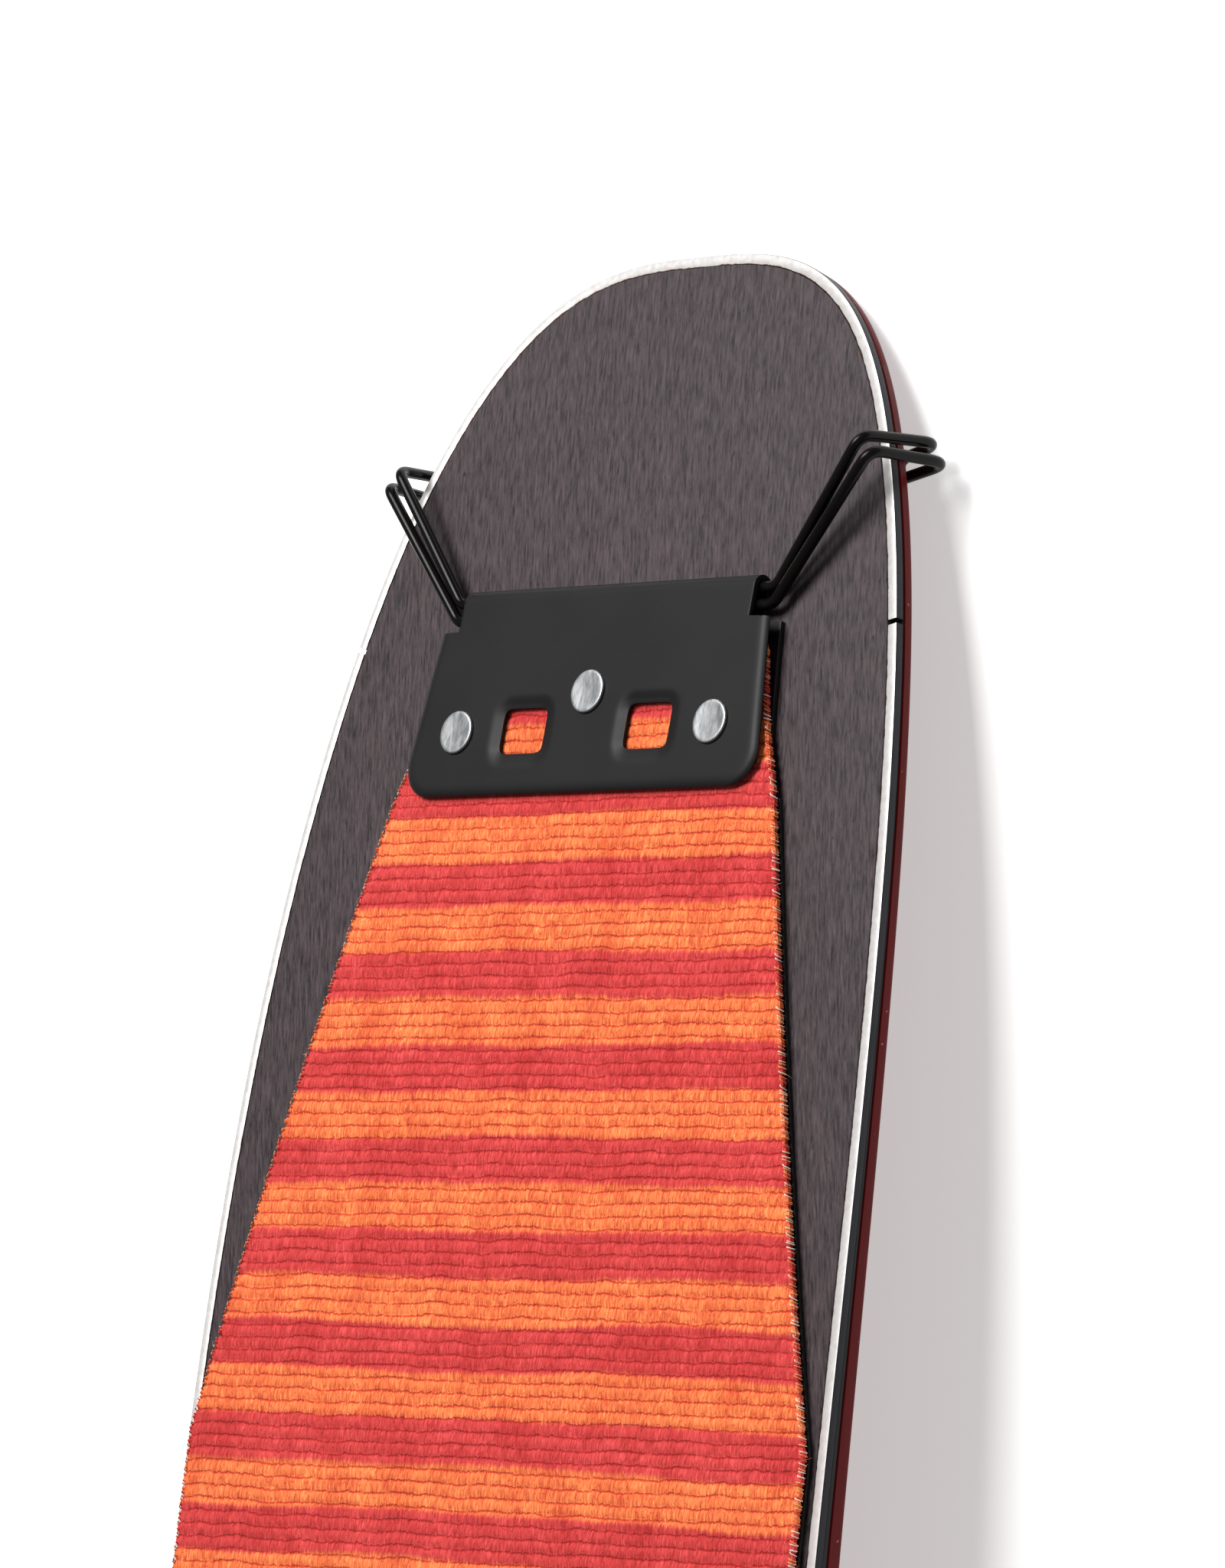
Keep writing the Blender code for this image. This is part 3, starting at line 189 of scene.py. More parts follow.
# ---------------------------------------------------------------- meshes from arrays
def mesh_object(name, points, polygons, corner_uv=None):
    """Object whose mesh has the points and lists of polygons, each list with one count of corners."""
    mesh = bpy.data.meshes.new(name)
    points = np.asarray(points, np.float32).reshape(-1, 3)
    corners = np.concatenate([np.asarray(p, np.int32).ravel() for p in polygons])
    counts = np.concatenate([np.full(len(p), p.shape[1], np.int32) for p in polygons])
    starts = np.concatenate([[0], np.cumsum(counts)[:-1]]).astype(np.int32)
    mesh.vertices.add(len(points))
    mesh.vertices.foreach_set("co", points.ravel())
    mesh.loops.add(len(corners))
    mesh.loops.foreach_set("vertex_index", corners)
    mesh.polygons.add(len(counts))
    mesh.polygons.foreach_set("loop_start", starts)
    mesh.update(calc_edges=True)
    if corner_uv is not None:
        layer = mesh.uv_layers.new(name="UVMap")
        layer.data.foreach_set("uv", np.asarray(corner_uv, np.float32).ravel())
    obj = bpy.data.objects.new(name, mesh)
    bpy.context.scene.collection.objects.link(obj)
    return obj


def surface(name, grid, ring=False, capped=False, uv=None, keep=None):
    """Surface over a grid of points, one quad between four neighbours.

    A ring joins the last column to the first, and capped closes the first and last rows. The uv
    grid has one column more than the points where the grid is a ring. Keep marks quads to keep.
    """
    rows, columns = grid.shape[:2]
    index = np.arange(rows * columns).reshape(rows, columns)
    wide = np.concatenate([index, index[:, :1]], axis=1) if ring else index
    quads = np.stack([wide[:-1, :-1], wide[:-1, 1:], wide[1:, 1:], wide[1:, :-1]], axis=-1)
    corner_uv = None
    if uv is not None:
        corner_uv = np.stack([uv[:-1, :-1], uv[:-1, 1:], uv[1:, 1:], uv[1:, :-1]], axis=2)
    if keep is not None:
        quads = quads[keep]
        corner_uv = corner_uv[keep] if uv is not None else None
    polygons = [quads.reshape(-1, 4)]
    if corner_uv is not None:
        corner_uv = corner_uv.reshape(-1, 2)
    if capped:
        polygons += [index[:1, ::-1], index[-1:, :]]
        if corner_uv is not None:
            ends = [uv[0, :columns][::-1], uv[-1, :columns]]
            corner_uv = np.concatenate([corner_uv, *ends])
    return mesh_object(name, grid, polygons, corner_uv)


def tidy_normals(obj):
    """Turns the faces of a closed mesh outwards."""
    shape = bmesh.new()
    shape.from_mesh(obj.data)
    bmesh.ops.recalc_face_normals(shape, faces=shape.faces)
    shape.to_mesh(obj.data)
    shape.free()
    return obj


def smooth(obj, angle=35.0):
    """Smooth shading, with edges sharper than the angle left sharp."""
    obj.data.shade_smooth()
    obj.data.set_sharp_from_angle(angle=math.radians(angle))
    return obj


def bundle(name, paths, radii, sides, uv_value):
    """Many thin tubes in one mesh: each follows its path, and a ring of sides is set square to it.

    Paths have shape (tube, point, 3). The radii have one value for each point, and uv_value has
    one for each tube, which its finish reads.
    """
    count, length = paths.shape[:2]
    along = np.gradient(paths, axis=1)
    along /= np.linalg.norm(along, axis=2, keepdims=True)
    first = np.cross(along, np.array([0.31, 0.17, 0.93]))
    first /= np.linalg.norm(first, axis=2, keepdims=True)
    second = np.cross(along, first)
    turn = np.linspace(0.0, 2 * np.pi, sides, endpoint=False)
    ring = first[:, :, None] * np.cos(turn)[None, None, :, None]
    ring = ring + second[:, :, None] * np.sin(turn)[None, None, :, None]
    points = paths[:, :, None] + ring * np.asarray(radii)[None, :, None, None]
    index = np.arange(count * length * sides).reshape(count, length, sides)
    after = np.roll(index, -1, axis=2)
    quads = np.stack([index[:, :-1], after[:, :-1], after[:, 1:], index[:, 1:]], axis=-1)
    caps = [index[:, 0, ::-1], index[:, -1, :]]
    body = (length - 1) * sides * 4
    uv = np.zeros((count * (body + 2 * sides), 2))
    uv[:, 0] = np.concatenate([np.repeat(uv_value, body), np.tile(np.repeat(uv_value, sides), 2)])
    return mesh_object(name, points, [quads.reshape(-1, 4), *caps], uv)


def tube(name, path, radius, sides=20):
    """One tube along a path, whose ring turns with the path by parallel transport."""
    path = np.asarray(path, float)
    along = np.gradient(path, axis=0)
    along /= np.linalg.norm(along, axis=1, keepdims=True)
    normal = np.cross(along[0], [0.0, 0.0, 1.0])
    normals = []
    for tangent in along:
        normal = normal - tangent * np.dot(normal, tangent)
        normal = normal / np.linalg.norm(normal)
        normals.append(normal)
    normals = np.array(normals)
    sideways = np.cross(along, normals)
    turn = np.linspace(0.0, 2 * np.pi, sides, endpoint=False)
    ring = normals[:, None] * np.cos(turn)[None, :, None] + sideways[:, None] * np.sin(turn)[None, :, None]
    inner = np.array([0.55, 0.86, 1.0])
    tips = [path[0] - along[0] * radius * (1 - k) * 0.5 for k in inner[:2]]
    ends = [path[-1] + along[-1] * radius * (1 - k) * 0.5 for k in inner[1::-1]]
    centres = np.concatenate([tips, path, ends])
    rings = np.concatenate([ring[:1], ring[:1], ring, ring[-1:], ring[-1:]])
    scale = np.concatenate([inner[:2], np.ones(len(path)), inner[1::-1]]) * radius
    grid = centres[:, None] + rings * scale[:, None, None]
    return smooth(tidy_normals(surface(name, grid, ring=True, capped=True)), 50)


def rounded_path(points, radius, steps=10, straight=5):
    """Corner points joined by straight runs, with a quadratic curve round each corner."""
    points = np.asarray(points, float)
    path, last = [], points[0]
    for before, corner, after in zip(points, points[1:], points[2:]):
        back, ahead = before - corner, after - corner
        long_back, long_ahead = np.linalg.norm(back), np.linalg.norm(ahead)
        back, ahead = back / long_back, ahead / long_ahead
        half = math.acos(np.clip(np.dot(back, ahead), -1, 1)) / 2.0
        reach = min(radius / math.tan(half), long_back * 0.49, long_ahead * 0.49)
        start, end = corner + back * reach, corner + ahead * reach
        share = np.linspace(0.0, 1.0, straight, endpoint=False)[:, None]
        path.append(last + (start - last) * share)
        turn = np.linspace(0.0, 1.0, steps, endpoint=False)[:, None]
        path.append(start * (1 - turn) ** 2 + corner * 2 * turn * (1 - turn) + end * turn**2)
        last = end
    share = np.linspace(0.0, 1.0, straight + 1)[:, None]
    path.append(last + (points[-1] - last) * share)
    return np.concatenate(path)


def turned(name, profile, steps=48):
    """Solid of revolution about Z. The profile runs from the top of the axis to its bottom."""
    profile = np.asarray(profile, float)
    turn = np.linspace(0.0, 2 * np.pi, steps, endpoint=False)
    x = profile[:, :1] * np.cos(turn)
    y = profile[:, :1] * np.sin(turn)
    z = np.repeat(profile[:, 1:2], steps, axis=1)
    obj = surface(name, np.stack([x, y, z], axis=-1), ring=True, capped=True)
    return smooth(tidy_normals(obj), 40)


def seat_on(obj, x, station, depth):
    """Moves a mesh made about the origin to its place on the plank: +Y to the nose, +Z out of the base."""
    angle = float(spine(station)[2])
    centre = place(x, station, depth)
    points = np.empty(len(obj.data.vertices) * 3, np.float32)
    obj.data.vertices.foreach_get("co", points)
    points = points.reshape(-1, 3)
    cos, sin = math.cos(angle), math.sin(angle)
    y = points[:, 1] * cos + points[:, 2] * sin
    z = -points[:, 1] * sin + points[:, 2] * cos
    moved = np.stack([points[:, 0], y, z], axis=1) + centre.astype(np.float32)
    obj.data.vertices.foreach_set("co", moved.ravel())
    obj.data.update()
    return obj


def cut_away(obj, cutter):
    """Takes the cutter's space out of the object for good, and removes the cutter."""
    modifier = obj.modifiers.new("cut", "BOOLEAN")
    modifier.operation = "DIFFERENCE"
    modifier.solver = "EXACT"
    modifier.object = cutter
    graph = bpy.context.evaluated_depsgraph_get()
    mesh = bpy.data.meshes.new_from_object(obj.evaluated_get(graph))
    obj.modifiers.clear()
    old = obj.data
    obj.data = mesh
    bpy.data.meshes.remove(old)
    mesh.name = obj.name
    bpy.data.objects.remove(cutter, do_unlink=True)
    return obj


def finish_piece(obj, looks, body, slot, *nodes):
    """Gives the piece its materials and its body, and hides the solid nodes that it stands for; the slot is
    not used.
    """
    obj.data.materials.clear()
    for look in looks:
        obj.data.materials.append(look)
    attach(obj, body)
    if nodes:
        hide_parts(*nodes)
    return obj


# ---------------------------------------------------------------- materials
class Finish:
    """A short way to lay out a material's nodes."""

    def __init__(self, name, roughness=0.5, metallic=0.0, specular=0.5):
        self.material = bpy.data.materials.new(name)
        self.material.use_nodes = True
        self.tree = self.material.node_tree
        self.shader = self.tree.nodes["Principled BSDF"]
        self.shader.inputs["Roughness"].default_value = roughness
        self.shader.inputs["Metallic"].default_value = metallic
        self.shader.inputs["Specular IOR Level"].default_value = specular

    def node(self, kind, **values):
        made = self.tree.nodes.new(kind)
        for key, value in values.items():
            setattr(made, key, value)
        return made

    def link(self, out, into):
        self.tree.links.new(out, into)

    def source(self, kind):
        return self.node("ShaderNodeTexCoord").outputs[kind]

    def split_uv(self):
        """The two UV values, across and along, as separate outputs."""
        made = self.node("ShaderNodeSeparateXYZ")
        self.link(self.source("UV"), made.inputs[0])
        return made.outputs[0], made.outputs[1]

    def mapped(self, vector, scale=(1.0, 1.0, 1.0), turn=0.0):
        """Coordinates stretched on each axis, then turned about Z by an angle in radians."""
        made = self.node("ShaderNodeMapping")
        made.inputs["Scale"].default_value = scale
        made.inputs["Rotation"].default_value = (0.0, 0.0, turn)
        self.link(vector, made.inputs["Vector"])
        return made.outputs["Vector"]

    def grain(self, stretch, detail=2.0, roughness=0.5, distortion=0.0, source=None):
        """Noise on stretched coordinates, which are the object's own where no source is given."""
        vector = self.mapped(source or self.source("Object"), stretch)
        made = self.node("ShaderNodeTexNoise")
        made.inputs["Scale"].default_value = 1.0
        made.inputs["Detail"].default_value = detail
        made.inputs["Roughness"].default_value = roughness
        made.inputs["Distortion"].default_value = distortion
        self.link(vector, made.inputs["Vector"])
        return made.outputs["Fac"]

    def maths(self, operation, first, second=0.0):
        made = self.node("ShaderNodeMath", operation=operation)
        for socket, value in zip(made.inputs, (first, second)):
            if isinstance(value, (int, float)):
                socket.default_value = value
            else:
                self.link(value, socket)
        return made.outputs[0]

    def ranged(self, value, low, high, to_low=0.0, to_high=1.0, kind="SMOOTHSTEP"):
        made = self.node("ShaderNodeMapRange", interpolation_type=kind)
        for socket, number in zip(list(made.inputs)[1:5], (low, high, to_low, to_high)):
            socket.default_value = number
        self.link(value, made.inputs[0])
        return made.outputs[0]

    def ramp(self, value, stops, interpolation="LINEAR"):
        made = self.node("ShaderNodeValToRGB")
        made.color_ramp.interpolation = interpolation
        elements = made.color_ramp.elements
        while len(elements) < len(stops):
            elements.new(0.5)
        for element, (place_at, colour) in zip(elements, stops):
            element.position = place_at
            element.color = (*colour, 1.0)
        self.link(value, made.inputs[0])
        return made.outputs[0]

    def mix(self, share, first, second, blend="MIX"):
        made = self.node("ShaderNodeMix", data_type="RGBA", blend_type=blend)
        sockets = [made.inputs[0], made.inputs[6], made.inputs[7]]
        for socket, value in zip(sockets, (share, first, second)):
            if isinstance(value, (int, float)):
                socket.default_value = value
            elif isinstance(value, tuple):
                socket.default_value = (*value, 1.0)
            else:
                self.link(value, socket)
        return made.outputs[2]

    def tint(self, colour, value, low, high):
        """The colour made darker or lighter, from low to high times, as the value goes 0 to 1."""
        factor = self.ranged(value, 0.0, 1.0, low, high, "LINEAR")
        grey = self.node("ShaderNodeCombineColor")
        for socket in grey.inputs:
            self.link(factor, socket)
        return self.mix(1.0, colour, grey.outputs[0], "MULTIPLY")

    def colour(self, value):
        if isinstance(value, tuple):
            self.shader.inputs["Base Color"].default_value = (*value, 1.0)
        else:
            self.link(value, self.shader.inputs["Base Color"])

    def rough(self, value):
        self.link(value, self.shader.inputs["Roughness"])

    def bump(self, height, strength, distance):
        made = self.node("ShaderNodeBump")
        made.inputs["Strength"].default_value = strength
        made.inputs["Distance"].default_value = distance
        self.link(height, made.inputs["Height"])
        self.link(made.outputs[0], self.shader.inputs["Normal"])


def ground_base(look):
    """Stone-ground black base: fine grain a little off the length, pale streaks and a few flecks."""
    made = Finish("ground_base", 0.40, specular=0.35)
    leaning = made.mapped(made.source("Object"), turn=-0.20)
    fine = made.grain((2300.0, 260.0, 260.0), 4.0, 0.70, source=leaning)
    wide = made.grain((520.0, 40.0, 40.0), source=leaning)
    cloud = made.grain((30.0, 14.0, 14.0))
    fleck = made.grain((1500.0, 420.0, 420.0), 1.0)
    colour = made.tint(tuple(look.base_colour), made.ranged(fine, 0.32, 0.68, kind="LINEAR"), 0.22, 1.78)
    colour = made.tint(colour, wide, 0.84, 1.16)
    colour = made.tint(colour, cloud, 0.85, 1.15)
    spots = made.ranged(fleck, 0.72, 0.80)
    colour = made.mix(spots, colour, (0.012, 0.010, 0.011))
    made.colour(colour)
    made.rough(made.ranged(fine, 0.2, 0.8, 0.36, 0.55, "LINEAR"))
    made.bump(fine, 0.25, 0.00004)
    return made.material


def ground_steel():
    """Ground running face of the steel edge: near white, faint cross scratches, brown glue line inside."""
    made = Finish("ground_steel", 0.38, 0.35)
    across, _ = made.split_uv()
    scratch = made.grain((900.0, 900.0, 900.0), 3.0, 0.6)
    ragged = made.grain((700.0, 700.0, 700.0))
    inner = made.maths("ADD", across, made.ranged(ragged, 0.3, 0.7, -0.06, 0.06, "LINEAR"))
    glue = made.ranged(inner, 0.90, 0.97)
    colour = made.tint((0.74, 0.715, 0.70), scratch, 0.84, 1.10)
    colour = made.mix(glue, colour, (0.20, 0.085, 0.045))
    made.colour(colour)
    made.rough(made.ranged(scratch, 0.2, 0.8, 0.30, 0.48, "LINEAR"))
    made.bump(scratch, 0.12, 0.00003)
    return made.material


def shaded_steel_side():
    """Outer side of the steel edge: a near-black copy of the steel whose darkness is painted shade, with a
    thin worn line.
    """
    made = Finish("painted_shade_steel_side", 0.45, 0.2, 0.15)
    wear = made.grain((500.0, 120.0, 500.0), 3.0)
    # The near-black colour is painted shade on the edge's sides; the streaks in it are wear.
    made.colour(made.tint((0.016, 0.016, 0.019), wear, 0.6, 1.6))
    made.bump(wear, 0.2, 0.00003)
    return made.material


def sidewall_plastic():
    """Black sidewall, planed lengthwise."""
    made = Finish("sidewall_plastic", 0.5, specular=0.12)
    grain = made.grain((600.0, 60.0, 2400.0), 3.0)
    made.colour(made.tint((0.012, 0.012, 0.013), grain, 0.7, 1.35))
    made.bump(grain, 0.2, 0.00003)
    return made.material


def topsheet_lacquer(look):
    """Dark red lacquer with a clear coat, fine lengthwise print and pale dust specks."""
    made = Finish("topsheet_lacquer", 0.42, specular=0.06)
    made.shader.inputs["Coat Weight"].default_value = 0.03
    made.shader.inputs["Coat Roughness"].default_value = 0.12
    grain = made.grain((260.0, 9.0, 260.0), 4.0, 0.6)
    speck = made.grain((1100.0, 1100.0, 1100.0), 0.0)
    broad = made.grain((18.0, 2.0, 4.0))
    colour = made.tint(tuple(look.topsheet_colour), grain, 0.72, 1.3)
    colour = made.tint(colour, broad, 0.8, 1.2)
    colour = made.mix(made.ranged(speck, 0.82, 0.86), colour, (0.22, 0.09, 0.08))
    made.colour(colour)
    made.bump(grain, 0.05, 0.00004)
    return made.material


def plush_weave(look):
    """Striped plush: whole rows of orange or red pile, painted shade in the grooves between rows and in thin
    splits of the pile, and fine upright hairs.
    """
    made = Finish("striped_plush", 0.85, specular=0.25)
    made.shader.inputs["Sheen Weight"].default_value = 0.12
    made.shader.inputs["Sheen Roughness"].default_value = 0.5
    made.shader.inputs["Sheen Tint"].default_value = (1.0, 0.75, 0.6, 1.0)
    uv = made.source("UV")
    _, along = made.split_uv()
    drift = made.grain((22.0, 30.0, 1.0), source=uv)
    jag = made.grain((1600.0, 260.0, 1.0), source=uv)
    slide = made.ranged(drift, 0.3, 0.7, -0.00075, 0.00075, "LINEAR")
    slide_fine = made.ranged(jag, 0.25, 0.75, -0.00042, 0.00042, "LINEAR")
    station = made.maths("ADD", along, slide)
    ragged = made.maths("ADD", station, slide_fine)
    from_first = made.maths("SUBTRACT", ragged, look.first_stripe)
    stripe = made.maths("SINE", made.maths("MULTIPLY", from_first, math.pi / look.stripe_pitch))
    stripes = made.ranged(stripe, -0.20, 0.20)
    colour = made.mix(stripes, tuple(look.dark_colour), tuple(look.light_colour))
    wander = made.grain((90.0, 45.0, 1.0), 3.0, 0.6, source=uv)
    wander = made.ranged(wander, 0.3, 0.7, -0.00040, 0.00040, "LINEAR")
    shaken = made.maths("ADD", along, made.maths("MULTIPLY", slide_fine, 0.45))
    shaken = made.maths("ADD", shaken, wander)
    row_start = made.maths("SUBTRACT", shaken, look.first_stripe)
    row = made.maths("COSINE", made.maths("MULTIPLY", row_start, math.pi / look.row_pitch))
    # Mask of the grooves between rows: below it darkens them as painted shade and lowers the bump.
    between = made.ranged(made.maths("ABSOLUTE", row), 0.955, 0.999)
    broken = made.grain((700.0, 160.0, 1.0), source=uv)
    between = made.maths("MULTIPLY", between, made.ranged(broken, 0.30, 0.50, 0.30, 1.0))
    hair = made.grain((3000.0, 420.0, 1.0), 2.0, 0.6, source=uv)
    tuft = made.grain((1300.0, 520.0, 1.0), 2.0, 0.5, source=uv)
    blotch = made.grain((130.0, 60.0, 1.0), 4.0, 0.65, source=uv)
    # Thin splits in the pile, also darkened as painted shade.
    cleft_shade = made.grain((1150.0, 330.0, 1.0), 1.0, source=uv)
    cleft_shade = made.ranged(made.maths("ABSOLUTE", made.maths("SUBTRACT", cleft_shade, 0.5)), 0.0, 0.035, 1.0, 0.0)
    for value, dark_tone, light_tone in (
        (hair, (0.62, 0.34, 0.34), (1.24, 1.62, 1.60)),
        (tuft, (0.86, 0.66, 0.66), (1.10, 1.30, 1.30)),
        (blotch, (0.80, 0.54, 0.56), (1.14, 1.36, 1.36)),
    ):
        tone_share = made.ranged(value, 0.25, 0.75, kind="LINEAR")
        colour = made.mix(1.0, colour, made.mix(tone_share, dark_tone, light_tone), "MULTIPLY")
    # Painted shade: the colour in grooves and splits is multiplied down to a deep red.
    dark = made.maths("MAXIMUM", between, made.maths("MULTIPLY", cleft_shade, 0.55))
    groove_shade_colour = made.mix(1.0, colour, (0.70, 0.24, 0.26), "MULTIPLY")
    colour = made.mix(dark, colour, groove_shade_colour)
    made.colour(colour)
    height = made.maths("ADD", made.maths("MULTIPLY", hair, 0.6), made.maths("MULTIPLY", tuft, 0.7))
    height = made.maths("SUBTRACT", height, made.maths("MULTIPLY", dark, 0.9))
    made.bump(height, 0.65, 0.00022)
    return made.material


def selvage_thread():
    """Edge threads, each of one colour: pale, yellow, orange or red."""
    made = Finish("selvage_thread", 0.6)
    shade, _ = made.split_uv()
    stops = [
        (0.0, (0.84, 0.66, 0.50)), (0.34, (0.82, 0.42, 0.14)), (0.52, (0.92, 0.24, 0.08)),
        (0.74, (0.66, 0.07, 0.06)), (0.90, (0.92, 0.84, 0.76)),
    ]
    made.colour(made.ramp(shade, stops, "CONSTANT"))
    return made.material


def glue_backing():
    """Black glue on a woven backing: faint weave and a dull shine."""
    made = Finish("glue_backing", 0.55)
    weave = made.grain((1500.0, 1500.0, 1500.0))
    made.colour(made.tint((0.010, 0.010, 0.011), weave, 0.6, 1.6))
    made.bump(weave, 0.3, 0.00006)
    return made.material


def coated_metal(name, colour, roughness, grain=2600.0, strength=0.18, shine=0.24):
    """Coated metal: a fine even texture in the coat and a slight change in its shine."""
    made = Finish(name, roughness, 0.0, shine)
    coat = made.grain((grain, grain, grain))
    patch = made.grain((60.0, 60.0, 60.0))
    made.colour(made.tint(made.tint(colour, coat, 0.82, 1.2), patch, 0.9, 1.1))
    made.rough(made.ranged(patch, 0.3, 0.7, roughness - 0.04, roughness + 0.05, "LINEAR"))
    made.bump(coat, strength, 0.00003)
    return made.material


def bare_metal(name, colour, roughness, stretch, strength=0.2):
    """Bare metal with lengthwise or turned scratches: the stretch gives their grain on each axis."""
    made = Finish(name, roughness, 1.0)
    grain = made.grain(stretch, 3.0, 0.6, 0.4)
    cloud = made.grain((220.0, 220.0, 220.0), 3.0, 0.6, 1.0)
    made.colour(made.tint(made.tint(colour, grain, 0.80, 1.18), cloud, 0.80, 1.16))
    made.rough(made.ranged(grain, 0.2, 0.8, roughness - 0.08, roughness + 0.14, "LINEAR"))
    made.bump(grain, strength, 0.00003)
    return made.material


def moulded_plastic():
    """Black moulded plastic with a fine spark-eroded texture."""
    made = Finish("moulded_plastic", 0.48)
    grain = made.grain((1600.0, 1600.0, 1600.0))
    made.colour(made.tint((0.020, 0.020, 0.021), grain, 0.8, 1.25))
    made.bump(grain, 0.25, 0.00005)
    return made.material


def strap_weave():
    """Black webbing: ribs across and fine yarns along."""
    made = Finish("strap_weave", 0.8, specular=0.3)
    rib = made.node("ShaderNodeTexWave", wave_type="BANDS", bands_direction="Y")
    rib.inputs["Scale"].default_value = 1.0
    made.link(made.mapped(made.source("Object"), (1.0, 260.0, 260.0)), rib.inputs["Vector"])
    yarn = made.grain((2600.0, 600.0, 600.0))
    height = made.maths("ADD", made.maths("MULTIPLY", rib.outputs["Fac"], 0.6), yarn)
    made.colour(made.tint((0.022, 0.022, 0.023), yarn, 0.6, 1.6))
    made.bump(height, 0.6, 0.00012)
    return made.material


def layered_wood():
    """Bare core of glued lengthwise strips."""
    made = Finish("core_wood", 0.65)
    grain = made.grain((420.0, 12.0, 420.0), 4.0, 0.6)
    made.colour(made.ramp(grain, [(0.25, (0.42, 0.25, 0.12)), (0.75, (0.66, 0.46, 0.26))]))
    made.bump(grain, 0.2, 0.00005)
    return made.material


def glass_laminate():
    """Glass cloth in resin."""
    made = Finish("glass_laminate", 0.4)
    weave = made.grain((900.0, 900.0, 900.0))
    made.colour(made.tint((0.40, 0.42, 0.33), weave, 0.8, 1.2))
    return made.material


# ---------------------------------------------------------------- settings
def length(name, description, default):
    return FloatProperty(name=name, description=description, default=default, unit="LENGTH", precision=5)


def tone(name, description, default):
    return FloatVectorProperty(
        name=name, description=description, default=default, subtype="COLOR", min=0.0, max=1.0
    )


class PlankLook(bpy.types.PropertyGroup):
    """Sizes and colours of the plank's visible layers."""

    base_colour: tone("Base", "Colour of the running base", (0.0475, 0.034, 0.0375))
    topsheet_colour: tone("Topsheet", "Colour of the topsheet's lacquer", (0.085, 0.0014, 0.0018))
    edge_width: length("Edge width", "Width of the steel edge's running face", 0.0020)
    edge_height: length("Edge height", "Height of the steel edge", 0.0015)
    edge_joint: length("Edge joint", "Station of the joints in the steel edge", 0.0685)
    edge_joint_gap: length("Joint gap", "Gap in the steel edge at its joints", 0.0009)
    sidewall_width: length("Sidewall width", "Width of the sidewall inside the topsheet", 0.0049)
    cap_top: length("Topsheet sheet", "Thickness of the topsheet's flat part", 0.0005)
    lip: length("Lip", "Rounding of the topsheet's lower corner", 0.0009)


class SkinLook(bpy.types.PropertyGroup):
    """Sizes and colours of the climbing skin."""

    start: length("Start", "Station where the plush begins", 0.072)
    start_half_width: length("Start half width", "Half width of the plush where it begins", 0.0394)
    tuck: length("Tuck", "How far the skin is trimmed in where it goes under the plate", 0.0013)
    taper: FloatProperty(name="Taper", description="Widening for each metre of length", default=0.2553)
    margin: length("Margin", "Bare base and edge left beside the skin", 0.0030)
    tail_margin: length("Tail margin", "Distance from the skin's end to the tail", 0.034)
    backing_start: length("Backing start", "Station where the glued backing begins", 0.0985)
    backing: length("Backing", "Thickness of the backing", 0.0012)
    plush: length("Plush", "Thickness of the plush", 0.0014)
    row_pitch: length("Row pitch", "Distance between rows of pile", 0.0021500)
    row_relief: length("Row relief", "Depth of the groove between rows", 0.00022)
    stripe_pitch: length("Stripe", "Length of one stripe", 0.00793)
    first_stripe: length("First stripe", "Station where an orange stripe begins", 0.1003)
    light_colour: tone("Orange", "Colour of the orange rows", (0.98, 0.205, 0.062))
    dark_colour: tone("Red", "Colour of the red rows", (0.68, 0.052, 0.050))
    stitch_pitch: length("Stitch pitch", "Distance between edge threads", 0.00072)
    hairs: IntProperty(name="Loose hairs", description="Loose hairs along the edges", default=240, min=0)


class PlateLook(bpy.types.PropertyGroup):
    """Sizes and colours of the tip plate and its wire loops."""

    height: length("Height", "Height of the plate's face above the base", 0.0044)
    sheet: length("Sheet", "Thickness of the folded sheet", 0.0009)
    start: length("Start", "Station of the fold", 0.0602)
    end: length("End", "Station of the plate's lower edge", 0.0970)
    top_half: length("Top half width", "Half width at the fold", 0.0384)
    bottom_half: length("Bottom half width", "Half width at the lower edge", 0.0430)
    corner: length("Corner", "Radius of the lower corners", 0.0070)
    sleeve_half: length("Sleeve half width", "Half width of the wire sleeve", 0.0350)
    sleeve_length: length("Sleeve length", "Length of the wire sleeve", 0.0076)
    window_offset: length("Window offset", "Middle line to the middle of a window", 0.0150)
    window_half_width: length("Window half width", "Half the width of a window", 0.00525)
    window_half_length: length("Window half length", "Half the length of a window", 0.0040)
    window_slope: length("Window slope", "Width of the pressed slope round a window", 0.0023)
    window_drop: length("Window drop", "Depth of the pressed slope", 0.00060)
    rim_width: length("Rim width", "Width of the rounded rim", 0.0019)
    rim_drop: length("Rim drop", "Fall of the rounded rim", 0.00060)
    rivet_station: length("Rivets", "Station of the outer rivets and the windows", 0.0859)
    rivet_span: length("Rivet span", "Middle line to an outer rivet", 0.0306)
    middle_rivet: length("Middle rivet", "Station of the middle rivet", 0.0797)
    rivet_radius: length("Rivet radius", "Radius of a rivet's head", 0.0038)
    wire_radius: length("Wire radius", "Radius of the loop wire", 0.0010)
    wire_bend: length("Wire bend", "Radius of the bends in the wire", 0.0030)
    wire_gap: length("Wire gap", "Distance between the two legs of a loop", 0.0031)
    plate_colour: tone("Plate", "Colour of the plate's coat", (0.0075, 0.0068, 0.0074))
    wire_colour: tone("Wire", "Colour of the wire's coat", (0.0042, 0.0034, 0.0032))


